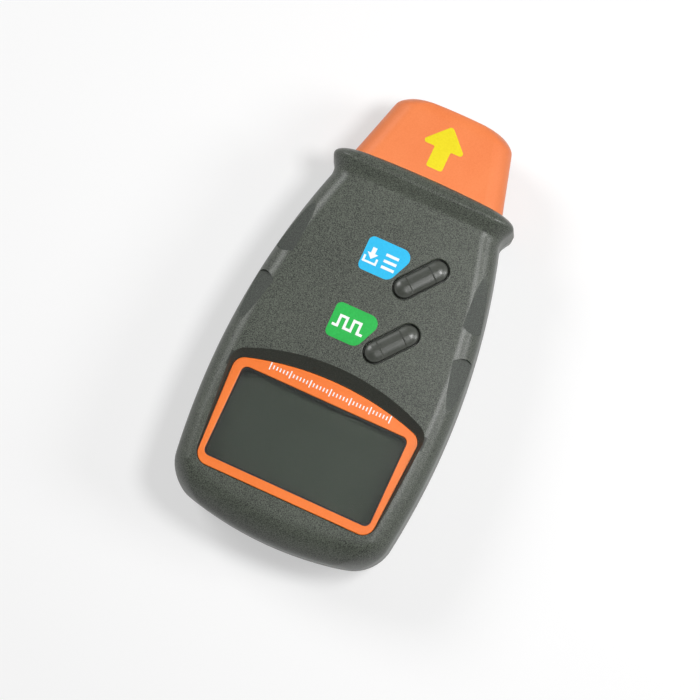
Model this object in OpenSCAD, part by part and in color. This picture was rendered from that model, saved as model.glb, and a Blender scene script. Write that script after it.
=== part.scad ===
// Handheld laser tachometer: a moulded case in two halves with a beaded collar and a tapered
// nose, a sunk display, two slanted buttons and a sliding battery cover at the back.
// X is the width, Y runs from the bottom end to the nose and Z rises out of the display face.
// The case lies on its back, on Z = 0.

/* [Case] */
// Overall length with the nose
total_length = 131; // [128:1:145]
// Width at the widest place
case_width = 69; // [68:0.5:76]
// Radius of the long curve along each side
side_radius = 205; // [195:5:300]
// Distance of the widest place from the bottom end
widest_from_end = 41.5; // [38:0.5:48]
// Radius of the bowed bottom end, seen from the front
end_radius = 100; // [85:5:150]
// Length over which the bow of the bottom end fades out up the case
bow_fade = 29.75; // [24:0.25:36]
// Radius of the two bottom corners, seen from the front
corner_radius = 7; // [6:0.5:8]
// Length over which the bottom end rounds off to the front and the back
end_round = 8.5; // [8:0.5:10]
// Height that the rounding of the bottom end takes from the front
end_drop_front = 9; // [6:0.5:10]
// Height that the rounding of the bottom end takes from the back
end_drop_back = 5; // [3:0.5:6]
// Radius of the long front edges
edge_radius = 6; // [5:0.25:7]
// Radius of the long back edges
back_radius = 5; // [3:0.5:6]
// Thickness of the case walls
wall = 2; // [1.6:0.1:2.2]
// Height of the joint between the case halves
joint_height = 13; // [12:0.25:14]
// Depth of the V groove along that joint
seam = 0.25; // [0.15:0.05:0.4]
// Inward lean of each side wall between the joint and the edge
draft = 0.4; // [0.2:0.1:0.8]

/* [Collar] */
// Width over the collar's crest
collar_width = 55.2; // [53:0.2:58]
// Height of the crest over the front face
collar_rise = 1.7; // [1:0.1:2.4]
// Distance from the collar's lip back to its crest
collar_shoulder = 3.4; // [3:0.1:5]
// Distance from the crest back to the neck
collar_flare = 5.7; // [5:0.1:7]
// Fall of the lip towards the sides of the nose
lip_fall = 0.8; // [0:0.1:1]
// Land of the collar's lip round the nose
lip_land = 0.7; // [0.4:0.1:1.2]
// Thickness of the lip that holds the nose's rim
lip_wall = 2.2; // [1.8:0.1:2.6]

/* [Nose] */
// Length of the nose in front of the collar
nose_length = 21.2; // [19:0.2:24]
// Width of the nose at the collar
nose_base_width = 45; // [43:0.5:46]
// Width of the nose at the tip, before its corners are rounded
nose_tip_width = 33.2; // [32:0.2:38]
// Depth of the nose at the collar
nose_base_depth = 21.6; // [20:0.2:22]
// Depth of the nose at the tip
nose_tip_depth = 17; // [16.4:0.2:19]
// Radius of the nose's long edges
nose_edge_radius = 6; // [4:0.25:7]
// Least flat height left on the nose's sides between those edges
nose_side_flat = 1; // [0.6:0.1:1.6]
// Radius of the tip's corners, seen from the front
tip_corner_radius = 4.5; // [3:0.25:5]
// Depth that the rounding of the tip takes from each face
tip_drop = 2.4; // [1:0.2:2.6]
// Radius of the bowed tip, seen from the front
tip_radius = 200; // [120:10:400]
// Thickness of the nose's walls
nose_wall = 1.8; // [1.4:0.1:2]
// Thickness of the tip round the aperture
tip_wall = 2; // [1.6:0.1:2.6]
// Width of the rim that the collar holds
rim_width = 0.8; // [0.5:0.1:0.9]
// Thickness of that rim
rim_thickness = 1.5; // [1:0.1:2]

/* [Optics] */
// Width of the aperture in the tip
aperture_width = 21; // [20:0.2:23]
// Height of the aperture in the tip
aperture_height = 10; // [9.6:0.1:10.6]
// Depth of the optics holder's face below the tip
aperture_recess = 0.8; // [0.4:0.1:1.4]
// Height of the optics holder
holder_height = 9.6; // [9.2:0.1:10]
// Width of the optics holder
holder_width = 20.4; // [20:0.1:21]
// Length of the optics holder without its foot
holder_length = 20.5; // [19:0.5:22]
// Length of the foot under the main board
foot_length = 9; // [8:0.5:10]
// Thickness of the foot
foot_thickness = 2; // [1.5:0.1:2.5]
// Width of the shoulder behind the tip
shoulder_width = 1; // [0.6:0.1:1.4]
// Thickness of the shoulder
shoulder_thickness = 1.2; // [1:0.1:2]
// Place of the receiver lens left of the middle
lens_offset = 5.6; // [5.2:0.1:5.8]
// Diameter of the receiver lens
lens_diameter = 8.2; // [7:0.1:8.4]
// Thickness of the receiver lens
lens_thickness = 2.4; // [2:0.1:3]
// Radius of the lens's front
lens_radius = 8; // [6:0.5:12]
// Diameter of the light tunnel behind the lens
tunnel_diameter = 6.8; // [6:0.1:7]
// Place of the laser right of the middle
laser_offset = 5.8; // [5.4:0.1:6.2]
// Diameter of the laser barrel
laser_diameter = 6; // [5:0.1:6.2]
// Length of the laser barrel
laser_length = 14; // [10:0.5:16]
// Diameter of the hole in front of the laser
laser_hole = 3; // [2:0.1:4]
// Diameter of the photo sensor
sensor_diameter = 5; // [4:0.1:5.4]
// Length of the photo sensor's straight part
sensor_length = 4; // [3:0.1:5]
// Thickness of the sensor board
sensor_board_thickness = 1; // [0.8:0.1:1.6]

/* [Display] */
// Distance from the bottom end to the display frame
frame_from_end = 12.4; // [12:0.1:16]
// Height of the frame at its middle
frame_height = 35.4; // [34.5:0.1:38]
// Half width of the frame at its bottom
frame_half_bottom = 26.3; // [26:0.1:28]
// Half width of the frame at its top
frame_half_top = 28.1; // [27.5:0.1:29]
// Radius of the frame's arched top
frame_arch = 84; // [70:1:120]
// Radius of the frame's corners
frame_corner = 3.6; // [2:0.1:4.5]
// Width of the window
window_width = 49.8; // [46:0.1:50.4]
// Width of the frame below the window
frame_bottom_bar = 2.65; // [2.2:0.05:3.5]
// Width of the frame above the window at its middle
frame_top_bar = 5.95; // [5.4:0.05:7]
// Radius of the window's corners
window_corner = 1.8; // [0.8:0.1:3]
// Height of the recess round the frame at its middle
recess_height = 39.4; // [38:0.1:42]
// Half width of the recess at its bottom
recess_half_bottom = 26.6; // [26.4:0.1:28.2]
// Half width of the recess at its top
recess_half_top = 30; // [29:0.1:31]
// Radius of the recess's arched top
recess_arch = 66; // [60:1:100]
// Radius of the recess's corners
recess_corner = 5; // [3:0.1:7]
// Depth of the frame below the face at its top
display_sink = 2; // [1.2:0.1:2.4]
// Depth of the frame below the face at its bottom
bottom_sink = 0.25; // [0.1:0.05:0.6]
// Thickness of the frame
frame_thickness = 0.7; // [0.5:0.1:1]
// Thickness of the window pane
pane_thickness = 0.8; // [0.6:0.1:1.2]
// Thickness of the ledge that carries the pane
ledge = 1; // [0.8:0.1:1.6]
// Width of the wall that stands round the display inside the case
well_width = 2; // [1.2:0.1:2.2]

/* [Buttons] */
// Place of the lower button between the display (0) and the collar (1)
lower_button_place = 0.241; // [0.23:0.001:0.27]
// Place of the upper button between the display (0) and the collar (1)
upper_button_place = 0.641; // [0.62:0.001:0.66]
// Place of the buttons right of the middle
button_x = 9.8; // [9:0.1:10.5]
// Angle of each button's long axis
button_angle = 51; // [40:1:60]
// Width of a button
button_width = 5.7; // [5:0.1:6]
// Distance between the centres of a button's round ends
button_length = 10.35; // [9:0.05:11]
// Height of a button over the face
button_rise = 0.9; // [0.7:0.1:1.6]
// Height of a button's domed top
button_dome = 1.3; // [0.8:0.1:1.6]
// Depth of the scoop between a button's ends
scoop_depth = 0.4; // [0.2:0.05:0.6]
// Length of the scoop
scoop_length = 7; // [5:0.1:8]
// Gap round a button
button_gap = 0.45; // [0.3:0.05:0.6]
// Width of the rim that keeps a button in the case
button_rim = 1; // [0.8:0.1:1.4]
// Thickness of that rim
button_rim_thickness = 0.9; // [0.6:0.1:1]
// Travel of a button
button_travel = 0.5; // [0.3:0.05:0.6]

/* [Grips] */
// Distance from the bottom end to the bridge between the grip facets
bridge_from_end = 67.5; // [65:0.5:70]
// Length of the bridge
bridge_length = 7.3; // [5:0.1:9]
// Distance of a facet's inner edge from the side, at the bridge
grip_inset = 6.1; // [5.4:0.1:6.4]
// Fall of a facet towards the side
grip_slope = 38; // [35:1:40]
// Length of a facet past its round end
grip_length = 14; // [12:0.5:15]
// Turn of the upper facets away from the case's length
grip_upper_turn = 5.5; // [5:0.5:7]
// Turn of the lower facets away from the case's length
grip_lower_turn = 12; // [11:0.5:15]
// Radius of a facet's end at the bridge
grip_end_radius = 5.5; // [5:0.25:7]
// Distance from a facet's inner edge at the bridge to the middle of that end's radius
grip_end_shift = 3.5; // [3:0.25:4]

/* [Battery] */
// Length of the battery without its studs
battery_length = 46.4; // [44:0.1:47]
// Width of the battery
battery_width = 26; // [24:0.1:26.5]
// Depth of the battery
battery_depth = 16.5; // [15:0.1:17.5]
// Radius of the battery's long edges
battery_edge = 2.2; // [1:0.1:3]
// Distance between the battery's studs
stud_pitch = 12.7; // [12:0.1:13]
// Height of the studs
stud_height = 2; // [1.8:0.1:2.4]
// Diameter of the plain stud
plain_stud = 5.7; // [5.4:0.1:6]
// Diameter of the socket stud
socket_stud = 8; // [7.6:0.1:8.4]
// Thickness of the snap connector
snap_thickness = 4.5; // [4:0.1:5]
// Height of the snap connector
snap_height = 12.5; // [11:0.1:14]
// Width of the wall on each side of the battery
bay_wall = 2.3; // [2:0.1:3]
// Height of the wall in front of the snap connector
bay_end_height = 9.5; // [8:0.1:10]
// Thickness of that wall
bay_end_wall = 2.5; // [2.4:0.1:3]
// Diameter of a battery lead
lead_diameter = 1.3; // [1:0.1:1.6]
// Distance between the leads
lead_pitch = 10; // [8:0.1:12]
// Radius of a lead's bend
lead_bend = 4; // [3:0.1:4.5]

/* [Battery cover] */
// Depth of the cover below the back
cover_inset = 0.3; // [0.2:0.05:0.5]
// Thickness of the cover
cover_thickness = 1.8; // [1.6:0.1:2.2]
// Thickness of the ledge that carries the cover's tongues
cover_ledge = 1.1; // [0.9:0.05:1.2]
// Width of the cover's tongues
tongue_width = 0.9; // [0.6:0.1:1]
// Height of the cover's upturned end
cover_end_height = 7.5; // [6.5:0.1:9]
// Thickness of the cover's upturned end
cover_end = 3.2; // [2.8:0.1:4]
// Number of thumb grooves
groove_count = 5; // [3:1:7]
// Distance between thumb grooves
groove_pitch = 2.2; // [1.8:0.1:3]
// Width of a thumb groove
groove_width = 1; // [0.6:0.1:1.2]
// Depth of a thumb groove
groove_depth = 0.5; // [0.3:0.05:0.6]
// Length of the thumb grooves
groove_length = 15; // [10:0.5:20]
// Distance from the cover's inner end to the nearest thumb groove
groove_from_top = 8; // [5:0.5:14]

/* [Electronics] */
// Thickness of the main board
board_thickness = 1.2; // [1:0.1:1.6]
// Half width of the main board between the upper screws
board_neck_half = 16.6; // [16.4:0.1:16.8]
// Distance of the main board's upper edge below the neck
board_end_gap = 2.2; // [2:0.1:3]
// Distance from the lower button down to the wide part of the main board
board_shoulder_drop = 6; // [5:0.1:7]
// Length of the board's tongue over the optics holder
tongue_overlap = 2; // [1:0.1:4]
// Half width of the board's tongue in the nose
tongue_half = 11; // [10.5:0.1:12]
// Margin of the display glass round the window
lcd_margin = 1.3; // [1:0.1:1.5]
// Thickness of the display glass
lcd_thickness = 1.8; // [1.4:0.1:2.2]
// Wall of the ring that holds the display glass
ring_wall = 0.9; // [0.7:0.1:1]
// Height of the contact strips under the glass
contact_height = 0.7; // [0.6:0.1:1]
// Width of the contact strips
contact_width = 1.6; // [1.2:0.1:2]
// Width of a switch
switch_width = 6; // [5.8:0.1:6.4]
// Height of a switch's body
switch_height = 3.2; // [3:0.1:3.3]
// Diameter of a switch's plunger
plunger_diameter = 3.4; // [3:0.1:3.6]
// Length of the plunger inside the switch at rest
plunger_sink = 0.9; // [0.8:0.1:1.2]
// Clear space between the controller chip and the parts above and below it
chip_gap = 2.4; // [1.5:0.1:3.5]
// Height of the controller chip
chip_height = 1.6; // [1.2:0.1:2]
// Length of the quartz crystal
crystal_length = 11; // [10:0.1:11.5]
// Width of the quartz crystal
crystal_width = 4.6; // [4:0.1:5]
// Height of the quartz crystal
crystal_height = 3.5; // [3:0.1:4]
// Diameter of the capacitor
capacitor_diameter = 5; // [4:0.1:6]
// Height of the capacitor
capacitor_height = 4.2; // [3.5:0.1:4.5]

/* [Screws] */
// Diameter of a case screw's shank
screw_shank = 2.8; // [2.5:0.1:3]
// Diameter of a case screw's head
screw_head = 5; // [4.6:0.1:5.2]
// Height of a case screw's head
screw_head_height = 1.8; // [1.4:0.1:2.2]
// Length of a case screw below its head
screw_length = 13; // [11:0.5:15]
// Height of the seat under a case screw's head
screw_seat = 5; // [4:0.25:6]
// Wall of the rear half's screw columns
boss_wall = 1.2; // [1:0.1:1.4]
// Wall of the front half's screw bosses
front_boss_wall = 1.6; // [1.4:0.1:1.7]
// Place of the upper case screws off the middle
upper_screw_x = 20.3; // [20.2:0.1:20.8]
// Distance of the upper case screws below the neck
upper_screw_drop = 4.5; // [4:0.1:6]
// Place of the lower case screws off the middle
lower_screw_x = 22; // [20.5:0.1:23]
// Distance of the lower case screws from the bottom end
lower_screw_from_end = 9.2; // [8.8:0.1:9.4]
// Diameter of a board screw's shank
board_screw = 2.2; // [2:0.1:2.4]
// Diameter of a board screw's head
board_screw_head = 4; // [3.6:0.1:4.2]
// Length of a board screw's thread in its post
board_screw_bite = 3.5; // [2.5:0.1:4]
// Diameter of the board posts
post_diameter = 5.2; // [4.6:0.1:5.4]
// Place of the upper board posts off the middle
upper_post_x = 14; // [13.6:0.1:14]
// Distance of the upper board posts below the board's upper edge
upper_post_drop = 4; // [3.6:0.1:4.4]
// Place of the lower board posts off the middle
lower_post_x = 23.5; // [23:0.1:24]
// Distance of the lower board posts below the edge of the board's wide part
lower_post_drop = 3.6; // [3.4:0.1:4.2]
// Place of the optics holder's screws off the middle
holder_screw_x = 7; // [6.6:0.1:7.4]

/* [Clearances] */
// Gap round a piece that fits in an opening
fit_gap = 0.15; // [0.1:0.05:0.2]
// Gap between a seated piece and its stop
seat_gap = 0.1; // [0.05:0.05:0.2]
// Gap round a piece that slides
slide_gap = 0.2; // [0.15:0.05:0.25]
// Gap between the battery and its bay
bay_gap = 0.3; // [0.2:0.05:0.4]

/* [Hidden] */
$fn = 48;

// Steps of a quarter round on the outer skin and on the cavity
skin_steps = 6;
cavity_steps = 3;
// Sizes of the rings that close the bowed bottom end, as parts of the first full ring
end_parts = [0.3, 0.65];
// Length by which a cutting shape overruns what it cuts
over = 1;
// Size of the blocks that keep one half of a shape
far = 200;
// Thickness of the thin slice at the foot of the display's recess
sheet = 0.01;

// Places along the length
y_tip = total_length / 2;
y_end = -y_tip;
y_lip = y_tip - nose_length;
y_crest = y_lip - collar_shoulder;
y_neck = y_crest - collar_flare;
y_round = y_end + end_round;
y_wide = y_end + widest_from_end;
y_pocket = y_lip - lip_wall;
frame_y = y_end + frame_from_end;

// Heights, stacked up from the back through the battery and the board to the face
cover_top = cover_inset + cover_thickness;
battery_z = cover_top + slide_gap;
board_z = battery_z + battery_depth + slide_gap;
board_top = board_z + board_thickness;
lcd_z = board_top + contact_height;
lcd_top = lcd_z + lcd_thickness;
well_z = lcd_top + seat_gap;
face_z = well_z + ledge + pane_thickness + frame_thickness + display_sink;
optics_z = board_z - holder_height / 2;
display_tilt = atan((display_sink - bottom_sink) / frame_height);

// Display window and glass
window_y = frame_y + frame_bottom_bar;
window_height = frame_height - frame_bottom_bar - frame_top_bar;
lcd_width = window_width + 2 * lcd_margin;
lcd_height = window_height + 2 * lcd_margin;
lcd_y = window_y - lcd_margin;

// Buttons and switches
recess_top = frame_y + recess_height;
lower_button_y = recess_top + lower_button_place * (y_neck - recess_top);
upper_button_y = recess_top + upper_button_place * (y_neck - recess_top);
button_rim_top = face_z - wall - seat_gap;
button_rim_z = button_rim_top - button_rim_thickness;
switch_top = board_top + switch_height;

// Battery, snap connector and bay
bay_half = battery_width / 2 + bay_gap;
battery_y = y_end + cover_end + bay_gap;
snap_y = battery_y + battery_length + bay_gap;
snap_back = snap_y + snap_thickness;
bay_end = snap_back + bay_gap;
battery_mid_z = battery_z + battery_depth / 2;
panel_half = bay_half + bay_gap;
tongue_z = cover_ledge + seat_gap;
groove_half = panel_half + tongue_width + slide_gap;

// Optics
holder_front = y_tip - aperture_recess;
holder_rear = holder_front - holder_length;
holder_bottom = optics_z - holder_height / 2;
tip_bow = pow(aperture_width / 2 + shoulder_width, 2) / (2 * tip_radius);
shoulder_front = y_tip - tip_wall - tip_bow - seat_gap;
laser_front = holder_rear + laser_length;
lens_seat = holder_front - lens_thickness;

// Board outline and screw places
board_half = lcd_width / 2 + ring_wall + fit_gap;
board_y = lcd_y - ring_wall - fit_gap;
board_neck_y = y_neck - board_end_gap;
board_shoulder_y = lower_button_y - board_shoulder_drop;
tongue_y = holder_rear + tongue_overlap;
chip_size = upper_button_y - lower_button_y - (crystal_width + capacitor_diameter) / 2 - 2 * chip_gap;
upper_post = [upper_post_x, board_neck_y - upper_post_drop];
lower_post = [lower_post_x, board_shoulder_y - lower_post_drop];
holder_screw = [holder_screw_x, holder_rear - foot_length / 2];
upper_screw = [upper_screw_x, y_neck - upper_screw_drop];
lower_screw = [lower_screw_x, y_end + lower_screw_from_end];
boss_radius = screw_shank / 2 + front_boss_wall;
well_radius = screw_head / 2 + slide_gap;

// Blend that leaves and arrives level, from 0 to 1
function ease(t) = (1 - cos(180 * min(1, max(0, t)))) / 2;

function lerp(a, b, t) = a + (b - a) * t;

// Part of a quarter round that is still missing at a distance from its end, from 1 to 0
function missing(distance, length) =
    distance >= length ? 0 : 1 - sqrt(1 - pow((length - distance) / length, 2));

// Half width of the case's long side curve
function side_half(y) = case_width / 2 - side_radius + sqrt(pow(side_radius, 2) - pow(y - y_wide, 2));

// Bow of the sections, full at the bottom end and fading out up the case
function bow_at(y) = 1 - ease((y - y_round) / bow_fade);

bow_side = pow(case_width / 2, 2) / (2 * end_radius);

// Height of the collar's bead at a place, from 0 at the neck to 1 at the crest, steepest near the crest
function bead(y) = pow(ease((y - y_neck) / collar_flare), 2);

// What is left of the collar's shoulder at a place, from 1 at the crest to 0 at the lip
function shoulder(y) = y <= y_crest ? 1 : sqrt(max(0, 1 - pow((y - y_crest) / collar_shoulder, 2)));

// Part of the way from the crest to the lip at a place
function lip_share(y) = max(0, (y - y_crest) / collar_shoulder);

function nose_half(y) = lerp(nose_base_width, nose_tip_width, (y - y_lip) / nose_length) / 2;

function nose_rise(y) = lerp(nose_base_depth, nose_tip_depth, (y - y_lip) / nose_length) / 2;

lip_growth = fit_gap + lip_land;
lip_half = nose_half(y_lip) + lip_growth;
lip_top = optics_z + nose_rise(y_lip) + lip_growth;
lip_bottom = optics_z - nose_rise(y_lip) - lip_growth;

// Half width, back height and front height of the case at a place along its length
function case_half(y) =
    y > y_neck
        ? lerp(lip_half, lerp(side_half(y_neck), collar_width / 2, bead(y)), shoulder(y))
        : side_half(y + bow_at(y) * bow_side) - corner_radius * missing(y - y_end, corner_radius);

function case_back(y) =
    y > y_crest ? lip_bottom * (1 - shoulder(y)) : end_drop_back * missing(y - y_end, end_round);

function case_front(y) =
    y > y_neck
        ? lerp(lip_top, face_z + collar_rise * bead(y), shoulder(y))
        : face_z - end_drop_front * missing(y - y_end, end_round);

// Points of an arc in the section plane
function arc(x, z, r, a0, a1, steps) =
    [for (i = [0:steps]) let (a = lerp(a0, a1, i / steps)) [x + r * cos(a), z + r * sin(a)]];

function mirrored(points) = [for (i = [len(points) - 1:-1:0]) [-points[i][0], points[i][1]]];

// Rounded section of the case or nose, as a closed ring; lean and groove are left out at 0
function section(half, back, front, back_r, front_r, lean, groove, middle, steps) =
    let (
        side = concat(
            arc(half - lean - back_r, back + back_r, back_r, -90, 0, steps),
            groove > 0
                ? [[half, middle - groove], [half - groove, middle], [half, middle + groove]]
                : [],
            arc(half - lean - front_r, front - front_r, front_r, 0, 90, steps)
        ),
        front_run = half - lean - front_r,
        back_run = half - lean - back_r
    )
    concat(
        side,
        [for (part = [0.5, 0, -0.5]) [part * front_run, front]],
        mirrored(side),
        [for (part = [-0.5, 0, 0.5]) [part * back_run, back]]
    );

// A section set at a place along the length, bowed by the square of its width
function ring_at(points, y, bow) = [for (p = points) [p[0], y + bow * p[0] * p[0], p[1]]];

function case_ring(y) =
    let (
        front = case_front(y),
        back = case_back(y),
        front_r = min(edge_radius, front - joint_height - 2 * seam),
        back_r = min(back_radius, joint_height - 2 * seam - back)
    )
    ring_at(
        section(case_half(y), back, front, back_r, front_r, draft, seam, joint_height, skin_steps),
        y, bow_at(y) / (2 * end_radius) - lip_fall * lip_share(y) / pow(lip_half, 2)
    );

// A ring at a place near the bottom end, shrunk to a part of its size, to close the bowed end
function end_ring(ring, y, part) =
    let (middle = (case_front(y) + case_back(y)) / 2)
    [
        for (p = ring)
            let (x = p[0] * part)
            [x, y + x * x / (2 * end_radius), middle + (p[2] - middle) * part]
    ];

function cavity_ring(y, place) =
    let (
        front = case_front(y) - wall,
        back = case_back(y) + wall,
        front_r = min(edge_radius, front + wall - joint_height - 2 * seam) - wall,
        back_r = min(back_radius, joint_height - 2 * seam - back + wall) - wall
    )
    ring_at(
        section(case_half(y) - wall, back, front, back_r, front_r, draft, 0, 0, cavity_steps),
        place, bow_at(y) / (2 * end_radius)
    );

// Section of the nose at a place, grown all round
function nose_ring(y, grow, steps) =
    let (
        cut = missing(y_tip - y, tip_corner_radius),
        half = nose_half(y) - tip_corner_radius * cut + grow,
        rise = nose_rise(y) - tip_drop * cut + grow,
        r = min(nose_edge_radius + grow, rise - nose_side_flat / 2)
    )
    ring_at(
        section(half, optics_z - rise, optics_z + rise, r, r, 0, 0, 0, steps),
        y, -ease((y - y_tip) / tip_corner_radius + 1) / (2 * tip_radius)
    );

// Places along a quarter round, closest together at its start
function round_places(start, length, steps) =
    [for (i = [0:steps]) start + length * (1 - cos(90 * i / steps))];

function spread(start, end, steps) = [for (i = [1:steps]) lerp(start, end, i / steps)];

case_places = concat(
    round_places(y_end, end_round, skin_steps),
    spread(y_round, y_neck, 10),
    spread(y_neck, y_crest, 6),
    [for (i = [1:6]) y_crest + collar_shoulder * sin(15 * i)]
);

// Closed solid skinned over a list of rings
module skin(rings) {
    n = len(rings[0]);
    last = len(rings) - 1;
    start = n * (last + 1);
    ones = [for (p = rings[0]) 1];
    middles = [ones * rings[0] / n, ones * rings[last] / n];
    sides = [
        for (i = [0:last - 1]) for (j = [0:n - 1])
            let (k = (j + 1) % n)
            each [
                [i * n + j, i * n + k, (i + 1) * n + k],
                [i * n + j, (i + 1) * n + k, (i + 1) * n + j]
            ]
    ];
    caps = [
        for (j = [0:n - 1])
            let (k = (j + 1) % n)
            each [[start, k, j], [start + 1, last * n + j, last * n + k]]
    ];
    polyhedron(concat([for (ring = rings) each ring], middles), concat(sides, caps));
}

module case_solid() {
    skin(concat(
        [for (part = end_parts) end_ring(case_ring(y_end), y_end, part)],
        [for (y = case_places) case_ring(y)]
    ));
}

module cavity() {
    places = concat(
        [for (i = [1:5]) y_end + wall + (end_round - wall) * (1 - cos(18 * i))],
        spread(y_round, y_neck, 6),
        spread(y_neck, y_crest, 3)
    );
    floor_y = y_end + wall;
    first = cavity_ring(floor_y, floor_y);
    skin(concat(
        [for (part = end_parts) end_ring(first, floor_y, part)],
        [first],
        [for (y = places) cavity_ring(y, y)],
        [cavity_ring(y_pocket, y_pocket)]
    ));
}

// Opening of the collar, in the shape of the nose
module lip_opening() {
    skin([for (y = [y_pocket - over, y_lip + over]) nose_ring(y, fit_gap, skin_steps)]);
}

module above_joint() {
    translate([-far / 2, -far / 2, joint_height]) cube(far);
}

module below_joint() {
    translate([-far / 2, -far / 2, joint_height - far]) cube(far);
}

// Places children at the same distance left and right of the middle
module both_sides(place) {
    for (side = [-1, 1]) translate([side * place[0], place[1], 0]) children();
}

// Round bar along Z between two heights
module bar(r, from, to) {
    translate([0, 0, from]) cylinder(r = r, h = to - from);
}

// Round bar along Y between two places, off the middle at the optics' height
module optics_bar(x, r, from, to) {
    translate([x, from, optics_z]) rotate([-90, 0, 0]) cylinder(r = r, h = to - from);
}

// Slot with round ends along Y, centred on the optics' axis
module optics_slot(width, height, from, to) {
    run = (width - height) / 2;
    translate([0, to, optics_z]) rotate([90, 0, 0]) linear_extrude(to - from) {
        square([2 * run, height], center = true);
        for (side = [-1, 1]) translate([side * run, 0]) circle(d = height);
    }
}

// Block between two corners
module block(low, high) {
    translate(low) cube(high - low);
}

// Arched outline of the display frame and its recess
module arch_shape(half_bottom, half_top, height, radius, corner) {
    offset(r = corner) offset(delta = -corner) intersection() {
        polygon([[-half_bottom, 0], [half_bottom, 0], [half_top, height], [-half_top, height]]);
        translate([0, height - radius]) circle(r = radius, $fn = 240);
    }
}

module frame_shape() {
    arch_shape(frame_half_bottom, frame_half_top, frame_height, frame_arch, frame_corner);
}

module recess_shape() {
    arch_shape(recess_half_bottom, recess_half_top, recess_height, recess_arch, recess_corner);
}

module window_shape() {
    translate([0, frame_bottom_bar + window_height / 2])
        offset(r = window_corner)
            square([window_width - 2 * window_corner, window_height - 2 * window_corner], center = true);
}

// Places children on the sloping plane of the display, with Z = 0 on the frame's front
module on_display() {
    translate([0, frame_y, face_z - bottom_sink]) rotate([-display_tilt, 0, 0]) children();
}

// Everything that the display takes out of the front: sloping recess, pocket and window
module display_cut() {
    pocket = frame_thickness + pane_thickness;
    hull() {
        translate([0, frame_y, face_z]) linear_extrude(over) recess_shape();
        on_display() linear_extrude(sheet) offset(r = 2 * fit_gap) frame_shape();
    }
    on_display() translate([0, 0, -pocket]) linear_extrude(pocket + over) offset(r = fit_gap) frame_shape();
    translate([0, frame_y, well_z - over]) linear_extrude(face_z - well_z) window_shape();
}

// Wall round the display inside the case, down to the display glass
module display_well() {
    translate([0, frame_y, well_z]) linear_extrude(face_z - well_z) offset(r = well_width) recess_shape();
}

// Outline of a button, grown all round
module button_shape(grow) {
    square([button_length, button_width + 2 * grow], center = true);
    for (side = [-1, 1]) translate([side * button_length / 2, 0]) circle(d = button_width + 2 * grow);
}

module at_button(y) {
    translate([button_x, y, 0]) rotate([0, 0, button_angle]) children();
}

module button_opening(y) {
    at_button(y) translate([0, 0, button_rim_top - over]) linear_extrude(face_z) button_shape(button_gap);
}

// Cutting shape of one smooth grip facet: a sloping plane with a round end at the bridge
module grip_cut(y, turn, up) {
    translate([side_half(y) - grip_inset, y, face_z])
        rotate([0, 0, turn])
            rotate([0, grip_slope, 0])
                linear_extrude(far)
                    translate([grip_end_shift, up * grip_end_radius]) {
                        circle(r = grip_end_radius);
                        translate([-grip_end_radius, up > 0 ? 0 : -grip_length])
                            square([2 * grip_end_radius, grip_length]);
                    }
}

module grip_cuts() {
    for (side = [0, 1]) mirror([side, 0, 0]) {
        grip_cut(y_end + bridge_from_end + bridge_length, grip_upper_turn, 1);
        grip_cut(y_end + bridge_from_end, grip_lower_turn, -1);
    }
}

module front_case() {
    color([0.27, 0.28, 0.27]) difference() {
        intersection() {
            case_solid();
            above_joint();
        }
        difference() {
            cavity();
            display_well();
            both_sides(upper_screw) bar(boss_radius, 0, face_z);
            both_sides(lower_screw) bar(boss_radius, 0, face_z);
            both_sides(upper_post) bar(post_diameter / 2, board_top, face_z);
            both_sides(lower_post) bar(post_diameter / 2, board_top, face_z);
        }
        lip_opening();
        display_cut();
        button_opening(upper_button_y);
        button_opening(lower_button_y);
        grip_cuts();
        for (place = [upper_screw, lower_screw])
            both_sides(place) bar(screw_shank / 2 + fit_gap / 2, 0, screw_seat + screw_length + over);
        for (place = [upper_post, lower_post])
            both_sides(place) bar(board_screw / 2 + fit_gap / 2, 0, board_top + board_screw_bite + fit_gap);
    }
}

// Walls of the battery bay, standing in the rear half
module bay_walls() {
    for (side = [-1, 1])
        translate([side * (bay_half + bay_wall / 2), 0, 0])
            block([-bay_wall / 2, y_end, 0], [bay_wall / 2, bay_end + bay_end_wall, joint_height]);
    block([-bay_half - bay_wall, bay_end, 0], [bay_half + bay_wall, bay_end + bay_end_wall, bay_end_height]);
}

// Space of the cover in the rear half: its panel, its tongues, its upturned end and the way to the bay
module cover_cut() {
    block([-panel_half - slide_gap, y_end - over, -over], [panel_half + slide_gap, bay_end, cover_ledge]);
    block(
        [-groove_half, y_end - over, cover_ledge],
        [groove_half, bay_end + tongue_width + slide_gap, battery_z]
    );
    block(
        [-panel_half - slide_gap, y_end - over, -over],
        [panel_half + slide_gap, y_end + cover_end + slide_gap, cover_end_height + slide_gap]
    );
    block([-bay_half, y_end + cover_end, cover_ledge], [bay_half, bay_end, battery_mid_z]);
}

module rear_case() {
    color([0.25, 0.26, 0.25]) difference() {
        intersection() {
            case_solid();
            below_joint();
        }
        difference() {
            cavity();
            bay_walls();
            both_sides(upper_screw) bar(well_radius + boss_wall, 0, joint_height);
            both_sides(lower_screw) bar(well_radius + boss_wall, 0, joint_height);
        }
        lip_opening();
        cover_cut();
        for (place = [upper_screw, lower_screw]) {
            both_sides(place) bar(well_radius, -over, screw_seat);
            both_sides(place) bar(screw_shank / 2 + fit_gap, 0, joint_height + over);
        }
    }
}

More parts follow.
